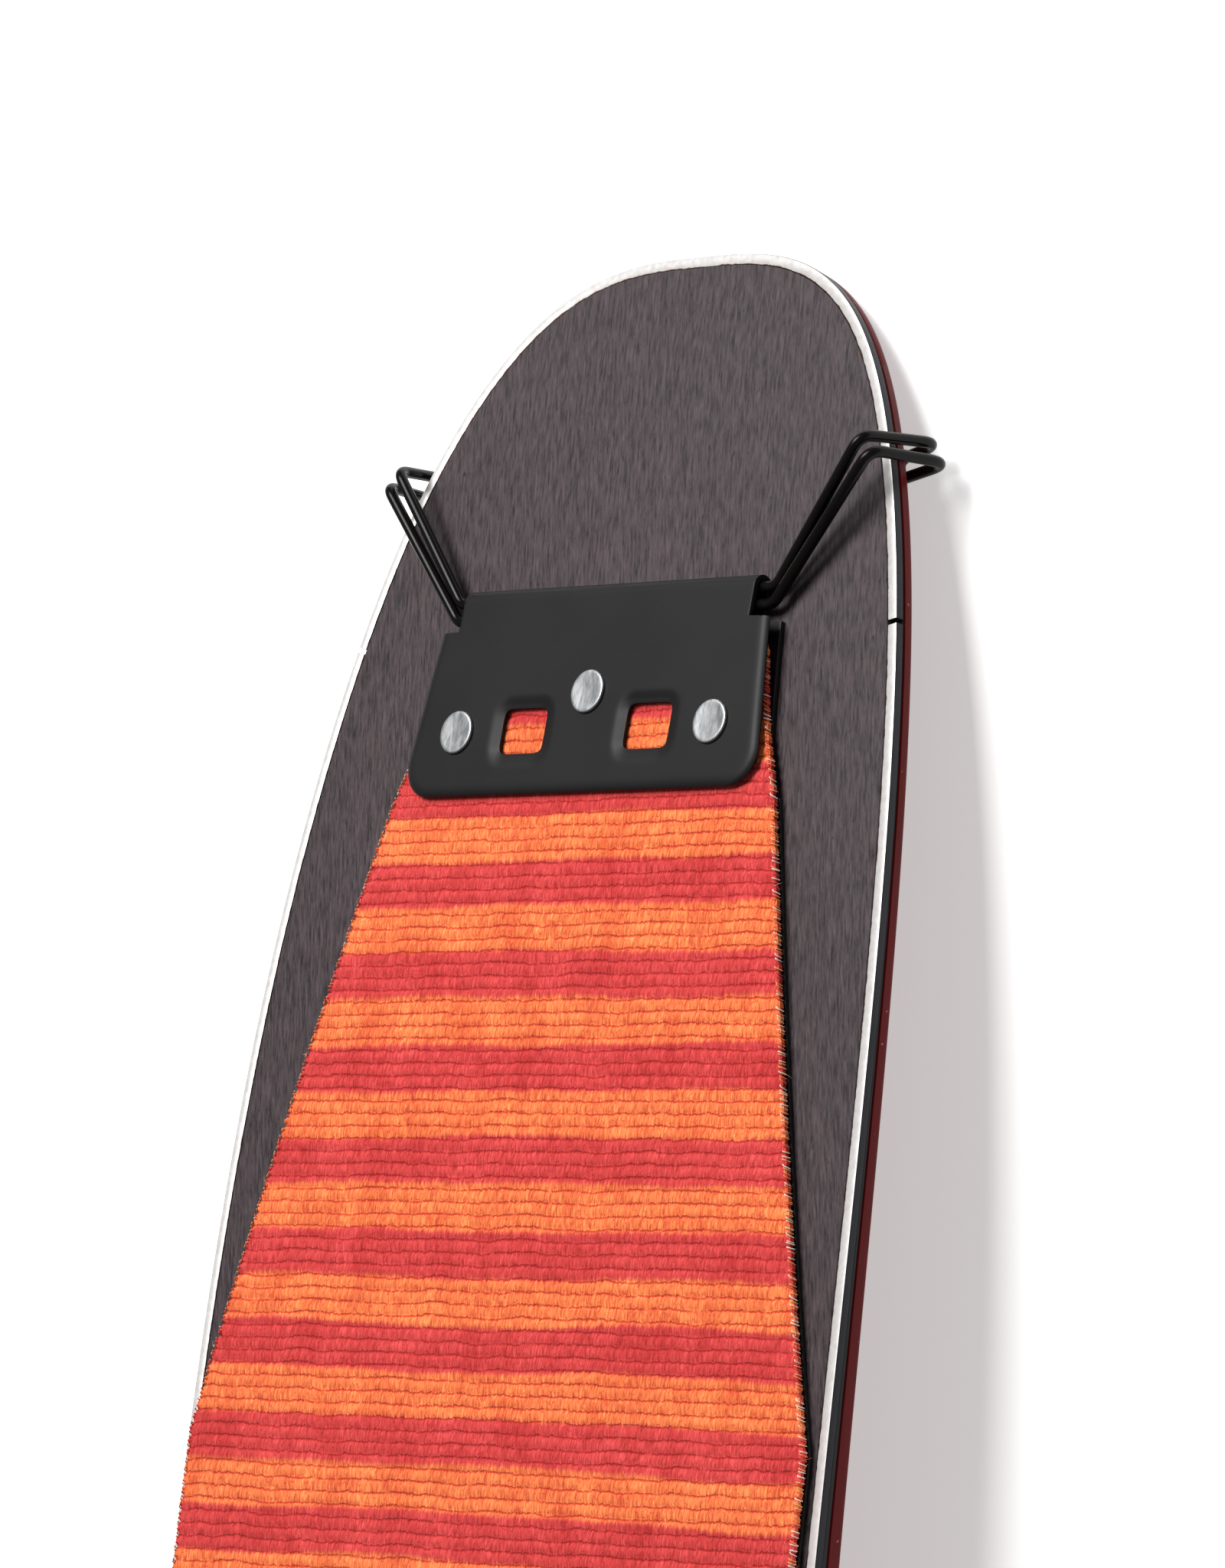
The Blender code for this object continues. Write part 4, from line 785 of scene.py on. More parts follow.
class StageLook(bpy.types.PropertyGroup):
    """Camera, lights and floor."""

    camera_place: FloatVectorProperty(
        name="Camera", description="Place of the camera", default=(1.01683, 0.60409, 1.00309), subtype="XYZ"
    )
    camera_aim: FloatVectorProperty(
        name="Aim", description="Point that the camera looks at", default=(0.00328, 0.72411, 0.02228),
        subtype="XYZ",
    )
    camera_roll: FloatProperty(name="Roll", description="Turn of the camera about its view", default=-82.47)
    lens: FloatProperty(name="Lens", description="Focal length, in mm on a 36 mm tall image", default=193.36)
    floor_colour: tone("Floor", "Colour of the floor", (0.93, 0.93, 0.93))
    floor_glow: FloatProperty(name="Floor glow", description="Light given off by the floor", default=0.48)
    key_power: FloatProperty(name="Key", description="Power of the main light", default=90.0, unit="POWER")
    side_power: FloatProperty(name="Side", description="Power of the left light", default=0.5, unit="POWER")
    fill_power: FloatProperty(name="Fill", description="Power of the right light", default=1.5, unit="POWER")
    world_light: FloatProperty(name="World", description="Strength of the even light", default=0.15)


class Maker:
    """What the operators share: each can be run again and undone."""

    bl_options = {"REGISTER", "UNDO"}


def rows_between(inset, start=0.0, end=LENGTH):
    """Rows across the plank inside the inset outline: stations, inner x and outer x."""
    inner_x, inner_s = outline(-1, inset, FINE)
    outer_x, outer_s = outline(1, inset, FINE)
    first, last = max(start, inner_s[0]), min(end, inner_s[-1])
    inside = inner_s[(inner_s > first + 1e-5) & (inner_s < last - 1e-5)]
    stations = np.concatenate([[first], inside, [last]])
    return stations, np.interp(stations, inner_s, inner_x), np.interp(stations, outer_s, outer_x)


def notch_cutter():
    """Rounded slot cut from the tail's middle: a superellipse carried through the plank."""
    turn = np.linspace(0.0, 2 * np.pi, 64, endpoint=False)
    power = 2.0 / NOTCH_POWER
    x = NOTCH_HALF_WIDTH * np.sign(np.cos(turn)) * np.abs(np.cos(turn)) ** power
    y = NOTCH_DEPTH * np.sign(np.sin(turn)) * np.abs(np.sin(turn)) ** power
    reach = np.array([[-0.03], [0.03]])
    grid = np.stack(np.broadcast_arrays(x, y, reach), axis=-1)
    cutter = tidy_normals(surface("notch", grid, ring=True, capped=True))
    return seat_on(cutter, 0.0, LENGTH, 0.0)


class SPLITBOARD_OT_base(Maker, bpy.types.Operator):
    """Lays the running base as one thin sheet inside the steel edges"""

    bl_idname = "splitboard.base"
    bl_label = "Running base"

    def execute(self, context):
        look = context.scene.splitboard_plank
        chamfer = 0.00012
        stations, inner, outer = rows_between(look.edge_width + GAP)
        x = np.stack([inner, inner, inner + chamfer, outer - chamfer, outer, outer], axis=1)
        depth = np.array([BASE_THICKNESS, chamfer, 0.0, 0.0, chamfer, BASE_THICKNESS])
        grid = place(x, stations[:, None], depth)
        obj = tidy_normals(surface("running_base", grid, ring=True, capped=True))
        cut_away(obj, notch_cutter())
        finish_piece(smooth(obj, 30), [ground_base(look)], "plank", "base", "base_sheet")
        return {"FINISHED"}


def edge_strip(name, lines, profile):
    """Strip along the outline: the profile's (inset, depth) points are carried along the line.

    Lines is a function that gives (x, station) arrays of the outline moved in by an inset.
    """
    columns = []
    for inset, depth in profile:
        x, station = lines(inset)
        columns.append(place(x, station, depth if np.isscalar(depth) else depth(station)))
    widest = max(abs(p[0]) for p in profile) or 1.0
    share = np.array([p[0] / widest for p in profile] + [profile[0][0] / widest])
    rows = len(columns[0])
    run = np.linspace(0.0, 1.0, rows)
    uv = np.stack([np.tile(share, (rows, 1)), np.tile(run[:, None], (1, len(share)))], axis=-1)
    return tidy_normals(surface(name, np.stack(columns, axis=1), ring=True, capped=True, uv=uv))


def stretch(side, start, end):
    """Function of the inset: one side's outline between two stations."""
    inside = FINE[(FINE > start + 1e-5) & (FINE < end - 1e-5)]
    stations = np.concatenate([[start], inside, [end]])
    return lambda inset: outline(side, inset, stations)


def round_nose(end):
    """Function of the inset: the outline round the nose, from one side to the other."""
    right = stretch(1, FINE[0], end)
    left = stretch(-1, FINE[0], end)

    def lines(inset):
        (left_x, left_s), (right_x, right_s) = left(inset), right(inset)
        return np.concatenate([left_x[::-1], right_x]), np.concatenate([left_s[::-1], right_s])

    return lines


class SPLITBOARD_OT_edges(Maker, bpy.types.Operator):
    """Sets the three steel edges, bright on the running face and darkened outside by painted shade, with
    their joints
    """

    bl_idname = "splitboard.edges"
    bl_label = "Steel edges"

    def execute(self, context):
        look = context.scene.splitboard_plank
        width, tall = look.edge_width, look.edge_height
        turn = np.linspace(0.0, math.pi / 2, 4)
        corner = 0.00022
        outer = [(corner * (1 - math.cos(a)), corner * (1 - math.sin(a))) for a in turn]
        profile = [(0.0, tall), *outer, (width - 0.0001, 0.0), (width, 0.0001), (width, tall)]
        # dark is the steel copy whose colour is painted shade; mark_sides lays it on every face that doesn't
        # look up.
        bright, dark = ground_steel(), shaded_steel_side()
        before = look.edge_joint - look.edge_joint_gap / 2
        after = look.edge_joint + look.edge_joint_gap / 2
        tail = LENGTH - TAIL_TRIM
        runs = {
            "nose_edge": round_nose(before),
            "inner_edge": stretch(-1, after, tail),
            "outer_edge": stretch(1, after, tail),
        }
        for node, lines in runs.items():
            obj = edge_strip(f"steel_{node}", lines, profile)
            if node != "nose_edge":
                cut_away(obj, notch_cutter())
            finish_piece(smooth(obj, 50), [bright, dark], "plank", "edge_steel", node)
            mark_sides(obj)
        return {"FINISHED"}


def mark_sides(obj):
    """Gives the faces that don't look up out of the base the second material, which for the steel edges is
    the copy with painted shade.
    """
    normals = np.empty(len(obj.data.polygons) * 3)
    obj.data.polygons.foreach_get("normal", normals)
    upward = normals.reshape(-1, 3)[:, 2]
    obj.data.polygons.foreach_set("material_index", (upward < 0.75).astype(np.int32))
    obj.data.update()


class SPLITBOARD_OT_sidewalls(Maker, bpy.types.Operator):
    """Sets the two sidewalls between the steel edges and the topsheet"""

    bl_idname = "splitboard.sidewalls"
    bl_label = "Sidewalls"

    def execute(self, context):
        look = context.scene.splitboard_plank
        black = sidewall_plastic()
        top = look.edge_height + GAP
        round_off = 0.0001

        def low(station):
            return CAP_SHARE * thickness(station) - GAP

        def low_side(station):
            return low(station) - round_off

        inner = look.sidewall_width
        profile = [(inner, top), (GAP + round_off, top), (GAP, top + round_off), (GAP, low_side),
                   (GAP + round_off, low), (inner, low)]
        for side, word in ((-1, "inner"), (1, "outer")):
            obj = edge_strip(f"{word}_sidewall_strip", stretch(side, FINE[0], LENGTH - TAIL_TRIM), profile)
            cut_away(obj, notch_cutter())
            finish_piece(smooth(obj, 40), [black], "plank", "sidewall", f"{word}_sidewall")
        return {"FINISHED"}


class SPLITBOARD_OT_topsheet(Maker, bpy.types.Operator):
    """Lays the lacquered topsheet with its turned-down side and rounded lower corner"""

    bl_idname = "splitboard.topsheet"
    bl_label = "Topsheet"

    def execute(self, context):
        look = context.scene.splitboard_plank
        lip, wall = look.lip, look.sidewall_width + GAP
        turn = np.linspace(0.0, math.pi / 2, 6)
        stations = rows_between(0.0)[0]
        full, cap = thickness(stations), CAP_SHARE * thickness(stations)
        chamfer = 0.0002
        half = [(chamfer, cap), (0.0, cap + chamfer)]
        half += [(lip * (1 - math.cos(a)), full - lip * (1 - math.sin(a))) for a in turn]
        left, right = [], []
        for inset, depth in half:
            inner, outer = self.edge_pair(inset, stations)
            left.append(place(inner, stations, depth))
            right.append(place(outer, stations, depth))
        inner_wall, outer_wall = self.edge_pair(wall, stations)
        sheet = full - look.cap_top
        inside = [
            place(outer_wall, stations, cap), place(outer_wall, stations, sheet),
            place(inner_wall, stations, sheet), place(inner_wall, stations, cap),
        ]
        grid = np.stack(left + right[::-1] + inside, axis=1)
        obj = tidy_normals(surface("lacquered_topsheet", grid, ring=True, capped=True))
        cut_away(obj, notch_cutter())
        finish_piece(smooth(obj, 40), [topsheet_lacquer(look)], "plank", "topsheet", "topsheet")
        return {"FINISHED"}

    @staticmethod
    def edge_pair(inset, stations):
        """Inner and outer x of the outline at an inset, on the full outline's own rows."""
        inner = np.minimum(-half_width(stations, -1) + inset, 0.0)
        outer = np.maximum(half_width(stations, 1) - inset, 0.0)
        return inner, outer


# ---------------------------------------------------------------- the climbing skin
def skin_edge(look, stations, side):
    """Half width of the skin: it widens evenly until it meets the margin inside the outline."""
    tapered = look.start_half_width + look.taper * (stations - look.start)
    tapered = tapered - look.tuck * (1.0 - smoothstep(look.start + 0.012, look.start + 0.028, stations))
    return np.minimum(tapered, half_width(stations, side) - look.margin)


def skin_sheet(name, look, start, bottom, top, row_step, relief):
    """Closed sheet on the base: two faces and rounded sides, its top grooved between rows."""
    stations = np.arange(start, LENGTH - look.tail_margin, row_step)
    across = np.linspace(-1.0, 1.0, 15)
    inner = skin_edge(look, stations, -1)
    outer = skin_edge(look, stations, 1)
    phase = np.pi * (stations - look.first_stripe) / look.row_pitch
    groove = relief * np.abs(np.cos(phase)) ** 6
    frill = relief * (0.6 - 1.6 * np.abs(np.cos(phase)) ** 3)
    inner, outer = inner + frill, outer + frill
    x = np.where(across < 0, inner[:, None], outer[:, None]) * across
    side_drop = 0.35 * (top - bottom) * np.clip((np.abs(across) - 0.985) / 0.015, 0, 1)
    height = top - groove[:, None] - side_drop[None, :]
    face = place(x, stations[:, None], -height)
    tuck = 0.00012
    right = place(outer - tuck, stations, -np.full_like(stations, bottom))
    left = place(-inner + tuck, stations, -np.full_like(stations, bottom))
    grid = np.concatenate([face, right[:, None], left[:, None]], axis=1)
    u = np.concatenate([x, (outer - tuck)[:, None], (-inner + tuck)[:, None], x[:, :1]], axis=1)
    uv = np.stack([u, np.tile(stations[:, None], (1, u.shape[1]))], axis=-1)
    return tidy_normals(surface(name, grid, ring=True, capped=True, uv=uv))


class SPLITBOARD_OT_skin(Maker, bpy.types.Operator):
    """Lays the climbing skin: glued backing and striped plush, both cut to the plank's outline"""

    bl_idname = "splitboard.skin"
    bl_label = "Climbing skin"

    def execute(self, context):
        look = context.scene.splitboard_skin
        low = GAP + look.backing
        plush_low = low + GAP
        plush_top = plush_low + look.plush
        plush = skin_sheet(
            "striped_plush", look, look.start, plush_low, plush_top, look.row_pitch / 6, look.row_relief
        )
        finish_piece(smooth(plush, 60), [plush_weave(look)], "plank", "plush", "skin_plush")
        backing = skin_sheet("glued_backing", look, look.backing_start, GAP, low, 0.004, 0.0)
        finish_piece(smooth(backing, 60), [glue_backing()], "plank", "skin_glue", "skin_backing")
        return {"FINISHED"}


class SPLITBOARD_OT_selvage(Maker, bpy.types.Operator):
    """Whips short threads over both edges of the plush, and lets a few loose hairs stand out"""

    bl_idname = "splitboard.selvage"
    bl_label = "Skin edges"

    def execute(self, context):
        look = context.scene.splitboard_skin
        random = np.random.default_rng(7)
        top = GAP + look.backing + GAP + look.plush
        thread = selvage_thread()
        start, end = look.start + 0.001, LENGTH - look.tail_margin - 0.001
        stations = np.arange(start, end, look.stitch_pitch)
        for side, word in ((-1, "inner"), (1, "outer")):
            at = stations + random.uniform(-0.00025, 0.00025, len(stations))
            edge = skin_edge(look, at, side)
            lean = random.uniform(0.0001, 0.0008, len(at))
            into = random.uniform(0.0003, 0.0007, len(at))
            share = np.linspace(0.0, 1.0, 5)
            inset = into[:, None] * np.cos(share * math.pi * 0.62) - 0.00012
            height = top - 0.00010 - 0.0011 * smoothstep(0.45, 1.0, share)
            x = side * (edge[:, None] - inset)
            s = at[:, None] + lean[:, None] * (share - 0.5)[None, :]
            paths = place(x, s, -height)
            radii = np.array([0.5, 0.95, 1.0, 0.95, 0.6]) * 0.00012
            shade = random.uniform(0.32 if side < 0 else 0.0, 1.0 if side > 0 else 0.88, len(at))
            obj = bundle(f"{word}_edge_threads", paths, radii, 5, shade)
            finish_piece(smooth(obj, 80), [thread], "plank", "plush")
        self.loose_hairs(look, top, random, thread)
        return {"FINISHED"}

    @staticmethod
    def loose_hairs(look, top, random, thread):
        """Thin hairs that start inside an edge and bend outwards and down."""
        count = look.hairs
        side = np.where(random.random(count) < 0.5, -1.0, 1.0)
        span = LENGTH - look.tail_margin - look.start - 0.01
        at = look.start + 0.03 + (span - 0.03) * random.random(count)
        edge = np.where(side < 0, skin_edge(look, at, -1), skin_edge(look, at, 1))
        reach = random.uniform(0.0006, 0.0022, count)
        lean = random.uniform(-0.0022, 0.0022, count)
        share = np.linspace(0.0, 1.0, 6)
        out = -0.0002 + reach[:, None] * share
        s = at[:, None] + lean[:, None] * share**1.6
        height = top - 0.0003 - 0.0007 * share**2
        paths = place(side[:, None] * (edge[:, None] + out), s, -height)
        radii = np.linspace(0.000035, 0.000012, 6)
        obj = bundle("loose_hairs", paths, radii, 4, random.random(count))
        finish_piece(obj, [thread], "plank", "plush")


# ---------------------------------------------------------------- tip plate, rivets and wires
def plate_side(look, station):
    """Half width of the plate's straight side, a slight trapezoid."""
    run = (station - look.start) / (look.end - look.start)
    return look.top_half + (look.bottom_half - look.top_half) * run


def plate_half(look, station):
    """Half width with the lower corners turned on their radius."""
    into = np.clip(station - (look.end - look.corner), 0.0, look.corner)
    return plate_side(look, station) - look.corner + np.sqrt(look.corner**2 - into**2)


def plate_columns(look, half):
    """X of every column, with lines on the windows' sides: fixed inside, stretched outside them."""
    near = look.window_offset - look.window_half_width
    far = look.window_offset + look.window_half_width
    inner = np.linspace(-near, near, 33)
    window = np.linspace(near, far, 19)
    outer = np.linspace(0.0, 1.0, 31)
    fixed = np.concatenate([-window[::-1], inner[1:-1], window])
    fixed = np.tile(fixed, (len(half), 1))
    reach = far + (half[:, None] - far) * outer[None, 1:]
    return np.concatenate([-reach[:, ::-1], fixed, reach], axis=1)


def rim_fall(look, x, station):
    """Fall of the face near its free edges: a quarter circle of the rim's width."""
    side = plate_side(look, station)
    corner_x, corner_s = side - look.corner, look.end - look.corner
    to_side = np.minimum(side - np.abs(x), look.end - station)
    round_x, round_s = np.abs(x) - corner_x, station - corner_s
    in_corner = (round_x > 0) & (round_s > 0)
    to_arc = look.corner - np.hypot(round_x, round_s)
    distance = np.where(in_corner, to_arc, to_side)
    share = np.clip(1.0 - distance / look.rim_width, 0.0, 1.0)
    return look.rim_drop * (1.0 - np.sqrt(np.maximum(1.0 - share**2, 0.0)))


def window_fall(look, x, station):
    """Fall of the pressed slope round each window, by the distance to its rounded rectangle."""
    fall = np.zeros(np.broadcast(x, station).shape)
    radius = 0.0016
    for side in (-1, 1):
        across = np.abs(x - side * look.window_offset) - look.window_half_width + radius
        down = np.abs(station - look.rivet_station) - look.window_half_length + radius
        distance = np.hypot(np.maximum(across, 0), np.maximum(down, 0)) - radius
        distance = np.where((across < 0) | (down < 0), np.maximum(across, down) - radius, distance)
        fall += look.window_drop * (1.0 - smoothstep(0.0, look.window_slope, distance))
    return fall


def round_windows(look, x, station):
    """Pulls the corners of each window in, so that its square outline turns into a rounded one."""
    power = 7.0
    for side in (-1, 1):
        across = (x - side * look.window_offset) / look.window_half_width
        down = (station - look.rivet_station) / look.window_half_length
        size = np.maximum(np.maximum(np.abs(across), np.abs(down)), 1e-9)
        pull = (np.abs(across / size) ** power + np.abs(down / size) ** power) ** (-1.0 / power)
        strength = np.clip((1.7 - size) / 0.7, 0.0, 1.0)
        factor = 1.0 + (pull - 1.0) * strength
        x = side * look.window_offset + across * look.window_half_width * factor
        station = look.rivet_station + down * look.window_half_length * factor
    return x, station


class SPLITBOARD_OT_plate(Maker, bpy.types.Operator):
    """Folds the tip plate: face with pressed windows and rounded rim, wire sleeve and lower leaf"""

    bl_idname = "splitboard.plate"
    bl_label = "Tip plate"

    def execute(self, context):
        look = context.scene.splitboard_plate
        radius = look.height / 2 - GAP / 2
        middle = radius + GAP
        sleeve_end = look.start + look.sleeve_length
        shoulder = 0.00012
        turn = np.linspace(0.0, math.pi / 2 * 0.97, 15)
        corner = look.end - look.corner * (1.0 - np.sin(turn))
        top_of_window = look.rivet_station - look.window_half_length
        foot_of_window = look.rivet_station + look.window_half_length
        face_s = np.concatenate([
            [sleeve_end + shoulder],
            np.linspace(sleeve_end + 0.0008, top_of_window, 30),
            np.linspace(top_of_window, foot_of_window, 19)[1:],
            corner[corner > foot_of_window + 0.0002],
        ])
        leaf_s = np.concatenate([corner[::-1][::2], np.linspace(corner[0], sleeve_end + shoulder, 5)[1:]])
        curl = np.linspace(0.0, math.pi, 25)
        curl_s = look.start + radius - radius * np.sin(curl)
        curl_h = middle - radius * np.cos(curl)
        sleeve_s = np.linspace(sleeve_end, curl_s[0] + 0.0005, 4)
        stations = np.concatenate([leaf_s, sleeve_s, curl_s, sleeve_s[::-1], face_s])
        heights = np.concatenate([
            np.full(len(leaf_s) + len(sleeve_s), GAP), curl_h,
            np.full(len(sleeve_s) + len(face_s), look.height),
        ])
        sleeve_rows = slice(len(leaf_s), len(leaf_s) + 2 * len(sleeve_s) + len(curl_s))
        half = plate_half(look, stations)
        half[sleeve_rows] = look.sleeve_half
        x = plate_columns(look, half)
        station = np.tile(stations[:, None], (1, x.shape[1]))
        height = np.tile(heights[:, None], (1, x.shape[1]))
        face = slice(len(stations) - len(face_s), len(stations))
        in_window = self.inside_window(look, x, station)
        x[face], station[face] = round_windows(look, x[face], station[face])
        fall = rim_fall(look, x[face], station[face]) + window_fall(look, x[face], station[face])
        height[face] -= fall
        grid = place(x, station, -height)
        on_face = np.zeros(len(stations), bool)
        on_face[face] = True
        keep = ~(in_window & (on_face[:-1] & on_face[1:])[:, None])
        obj = surface("folded_tip_plate", grid, keep=keep)
        self.face_outwards(obj)
        wall = obj.modifiers.new("sheet", "SOLIDIFY")
        wall.thickness = look.sheet
        wall.offset = -1.0
        edge = obj.modifiers.new("soft_edges", "BEVEL")
        edge.width = 0.00022
        edge.segments = 2
        edge.limit_method = "ANGLE"
        edge.angle_limit = math.radians(50)
        black = coated_metal("matt_black_coat", tuple(look.plate_colour), 0.50, 2400.0, 0.12)
        finish_piece(smooth(obj, 40), [black], "plank", "black_metal", "tip_plate")
        return {"FINISHED"}

    @staticmethod
    def inside_window(look, x, station):
        """Marks the quads whose middle lies in a window."""
        mid_x = (x[:-1, :-1] + x[1:, 1:]) / 2
        mid_s = (station[:-1, :-1] + station[1:, 1:]) / 2
        across = np.abs(np.abs(mid_x) - look.window_offset) < look.window_half_width
        down = np.abs(mid_s - look.rivet_station) < look.window_half_length
        return across & down

    @staticmethod
    def face_outwards(obj):
        """Turns the open sheet round if its face doesn't look up."""
        normals = np.empty(len(obj.data.polygons) * 3)
        obj.data.polygons.foreach_get("normal", normals)
        if normals.reshape(-1, 3)[-40:, 2].sum() < 0:
            obj.data.flip_normals()


class SPLITBOARD_OT_rivets(Maker, bpy.types.Operator):
    """Turns the three flat rivet heads of the tip plate"""

    bl_idname = "splitboard.rivets"
    bl_label = "Plate rivets"

    def execute(self, context):
        look = context.scene.splitboard_plate
        alloy = bare_metal("rivet_alloy", (0.46, 0.47, 0.48), 0.36, (900.0, 260.0, 900.0), 0.6)
        radius, shank, high, lip, seat = look.rivet_radius, 0.0018, 0.00062, 0.00028, 0.00012
        foot = -look.height + 0.0004
        edge = np.linspace(0.0, math.pi / 2, 5)
        profile = [(AXIS_HOLE, high - 0.00012), (radius * 0.55, high - 0.00009)]
        profile += [(radius * 0.82, high - 0.00002)]
        profile += [(radius - lip + lip * math.sin(a), high - lip + lip * math.cos(a)) for a in edge]
        profile += [(radius, seat), (shank, seat), (shank, foot), (AXIS_HOLE, foot)]
        spots = (
            ("left", -look.rivet_span, look.rivet_station),
            ("middle", 0.0, look.middle_rivet),
            ("right", look.rivet_span, look.rivet_station),
        )
        for word, x, station in spots:
            obj = seat_on(turned(f"{word}_plate_rivet", profile), x, station, -look.height)
            finish_piece(obj, [alloy], "plank", "aluminium", f"{word}_rivet")
        return {"FINISHED"}


class SPLITBOARD_OT_wires(Maker, bpy.types.Operator):
    """Bends the two sprung wire loops, whose hooks hold the plank's nose"""

    bl_idname = "splitboard.wires"
    bl_label = "Wire loops"

    def execute(self, context):
        look = context.scene.splitboard_plate
        rise = look.height / 2 + GAP / 2
        middle = look.start + look.sleeve_length / 2 - 0.0002
        upper, lower = middle - look.wire_gap / 2, middle + look.wire_gap / 2
        leave = look.sleeve_half + 0.0030
        deep = TIP_THICKNESS + 0.0040
        legs = np.array([
            (0.0030, upper, -rise), (leave, upper, -rise), (0.0560, 0.0386, -0.0073),
            (0.0588, 0.0348, deep), (0.0500, 0.0372, deep + 0.0002), (0.0510, 0.0408, deep + 0.0002),
            (0.0618, 0.0385, deep), (0.0584, 0.0412, -0.0068), (leave, lower, -rise), (0.0030, lower, -rise),
        ])
        coat = coated_metal("wire_coat", tuple(look.wire_colour), 0.22, 1800.0, 0.05, 0.13)
        for side, word in ((-1, "left"), (1, "right")):
            points = place(side * legs[:, 0], legs[:, 1], legs[:, 2])
            path = rounded_path(points, look.wire_bend)
            obj = tube(f"{word}_sprung_loop", path, look.wire_radius)
            finish_piece(obj, [coat], f"{word}_wire_loop", "black_wire", f"{word}_wire_loop")
        return {"FINISHED"}


# ---------------------------------------------------------------- hardware of the topside and the tail
def softened(node, width):
    """Copy of a solid node with its corners merged and its sharp edges rounded by the width."""
    shape = bmesh.new()
    shape.from_mesh(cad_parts[node].data)
    bmesh.ops.remove_doubles(shape, verts=shape.verts, dist=1e-6)
    bmesh.ops.dissolve_limit(
        shape, angle_limit=math.radians(1.0), verts=shape.verts, edges=shape.edges
    )
    sharp = [e for e in shape.edges if e.is_manifold and e.calc_face_angle(0.0) > math.radians(35)]
    bmesh.ops.bevel(
        shape, geom=sharp, offset=width, segments=2, profile=0.5, affect="EDGES",
        clamp_overlap=True,
    )
    mesh = bpy.data.meshes.new(f"rounded_{node}")
    shape.to_mesh(mesh)
    shape.free()
    obj = bpy.data.objects.new(f"rounded_{node}", mesh)
    bpy.context.scene.collection.objects.link(obj)
    smooth(obj, 40)
    even = obj.modifiers.new("flat_faces", "WEIGHTED_NORMAL")
    even.keep_sharp = True
    return obj


def screw_grid(head, tall, flat, deep, shank, reach, steps=48):
    """Screw about Z, head down: shank, rounded head and hexagonal socket, ring by ring.

    The socket's radius at an angle a is flat / cos(a folded into one of the six sides).
    """
    turn = np.linspace(0.0, 2 * np.pi, steps, endpoint=False)
    fold = np.mod(turn, np.pi / 3) - np.pi / 6
    six = flat / np.cos(fold)
    bend = np.linspace(0.0, np.pi / 2, 6)
    dome = [(head - tall * 0.45 * (1 - math.cos(b)), -tall * (0.55 + 0.45 * math.sin(b))) for b in bend]
    rings = [(AXIS_HOLE, reach), (shank, reach), (shank, 0.0), (head * 0.97, 0.0), (head, -0.0001), *dome]
    rings += [(six * 1.05, -tall), (six, -tall + 0.0001), (six, -tall + deep), (six * 0.02, -tall + deep)]
    grid = []
    for radius, z in rings:
        ring = np.broadcast_arrays(radius * np.cos(turn), radius * np.sin(turn), z)
        grid.append(np.stack(ring, axis=-1))
    return np.stack(grid)


def make_screw(node, steel):
    """Socket screw in the place and size of a solid screw, whose box gives its axis and its head."""
    low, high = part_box(node)
    head, tall, socket, deep, shank = (high.x - low.x) / 2, 0.0024, 0.0021, 0.0015, 0.0024
    grid = screw_grid(head, tall, socket, deep, shank, high.z - low.z - tall - 0.0003)
    centre = np.array([(low.x + high.x) / 2, (low.y + high.y) / 2, low.z + tall])
    obj = tidy_normals(surface(f"socket_{node}", grid + centre, ring=True, capped=True))
    finish_piece(smooth(obj, 35), [steel], "plank", "steel", node)


class SPLITBOARD_OT_hardware(Maker, bpy.types.Operator):
    """Rounds the corners of the bracket, pucks, heel rest, clips and tail kit, and finishes them"""

    bl_idname = "splitboard.hardware"
    bl_label = "Topside and tail hardware"

    def execute(self, context):
        satin = bare_metal("satin_alloy", (0.60, 0.60, 0.61), 0.36, (90.0, 2200.0, 900.0))
        steel = bare_metal("stainless_steel", (0.52, 0.52, 0.53), 0.28, (1500.0, 160.0, 1500.0))
        black = coated_metal("black_lever_coat", (0.018, 0.018, 0.019), 0.38)
        plastic, web = moulded_plastic(), strap_weave()
        hidden = {"core": layered_wood(), "laminate": glass_laminate(), "block": plastic, "rivet": satin}
        pieces = [
            ("touring_bracket", 0.0005, satin, "aluminium", "plank"),
            ("tail_buckle", 0.0003, satin, "aluminium", "plank"),
            ("heel_rest", 0.0008, plastic, "black_plastic", "plank"),
            ("front_puck", 0.0006, plastic, "black_plastic", "plank"),
            ("rear_puck", 0.0006, plastic, "black_plastic", "plank"),
            ("cam_lever", 0.00025, black, "black_metal", "cam_lever"),
            ("tail_strap", 0.0003, web, "webbing", "tail_hook"),
            ("tail_hook", 0.0003, steel, "steel", "tail_hook"),
        ]
        for word in ("nose", "front", "rear", "tail"):
            pieces.append((f"{word}_clip", 0.0004, steel, "steel", f"{word}_clip"))
        for node, width, look, slot, body in pieces:
            finish_piece(softened(node, width), [look], body, slot, node)
        for node in [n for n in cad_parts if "_screw_" in n]:
            make_screw(node, steel)
        for node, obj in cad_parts.items():
            if obj.hide_render:
                continue
            chosen = [look for word, look in hidden.items() if word in node]
            obj.data.materials.clear()
            obj.data.materials.append(chosen[0] if chosen else steel)
        return {"FINISHED"}


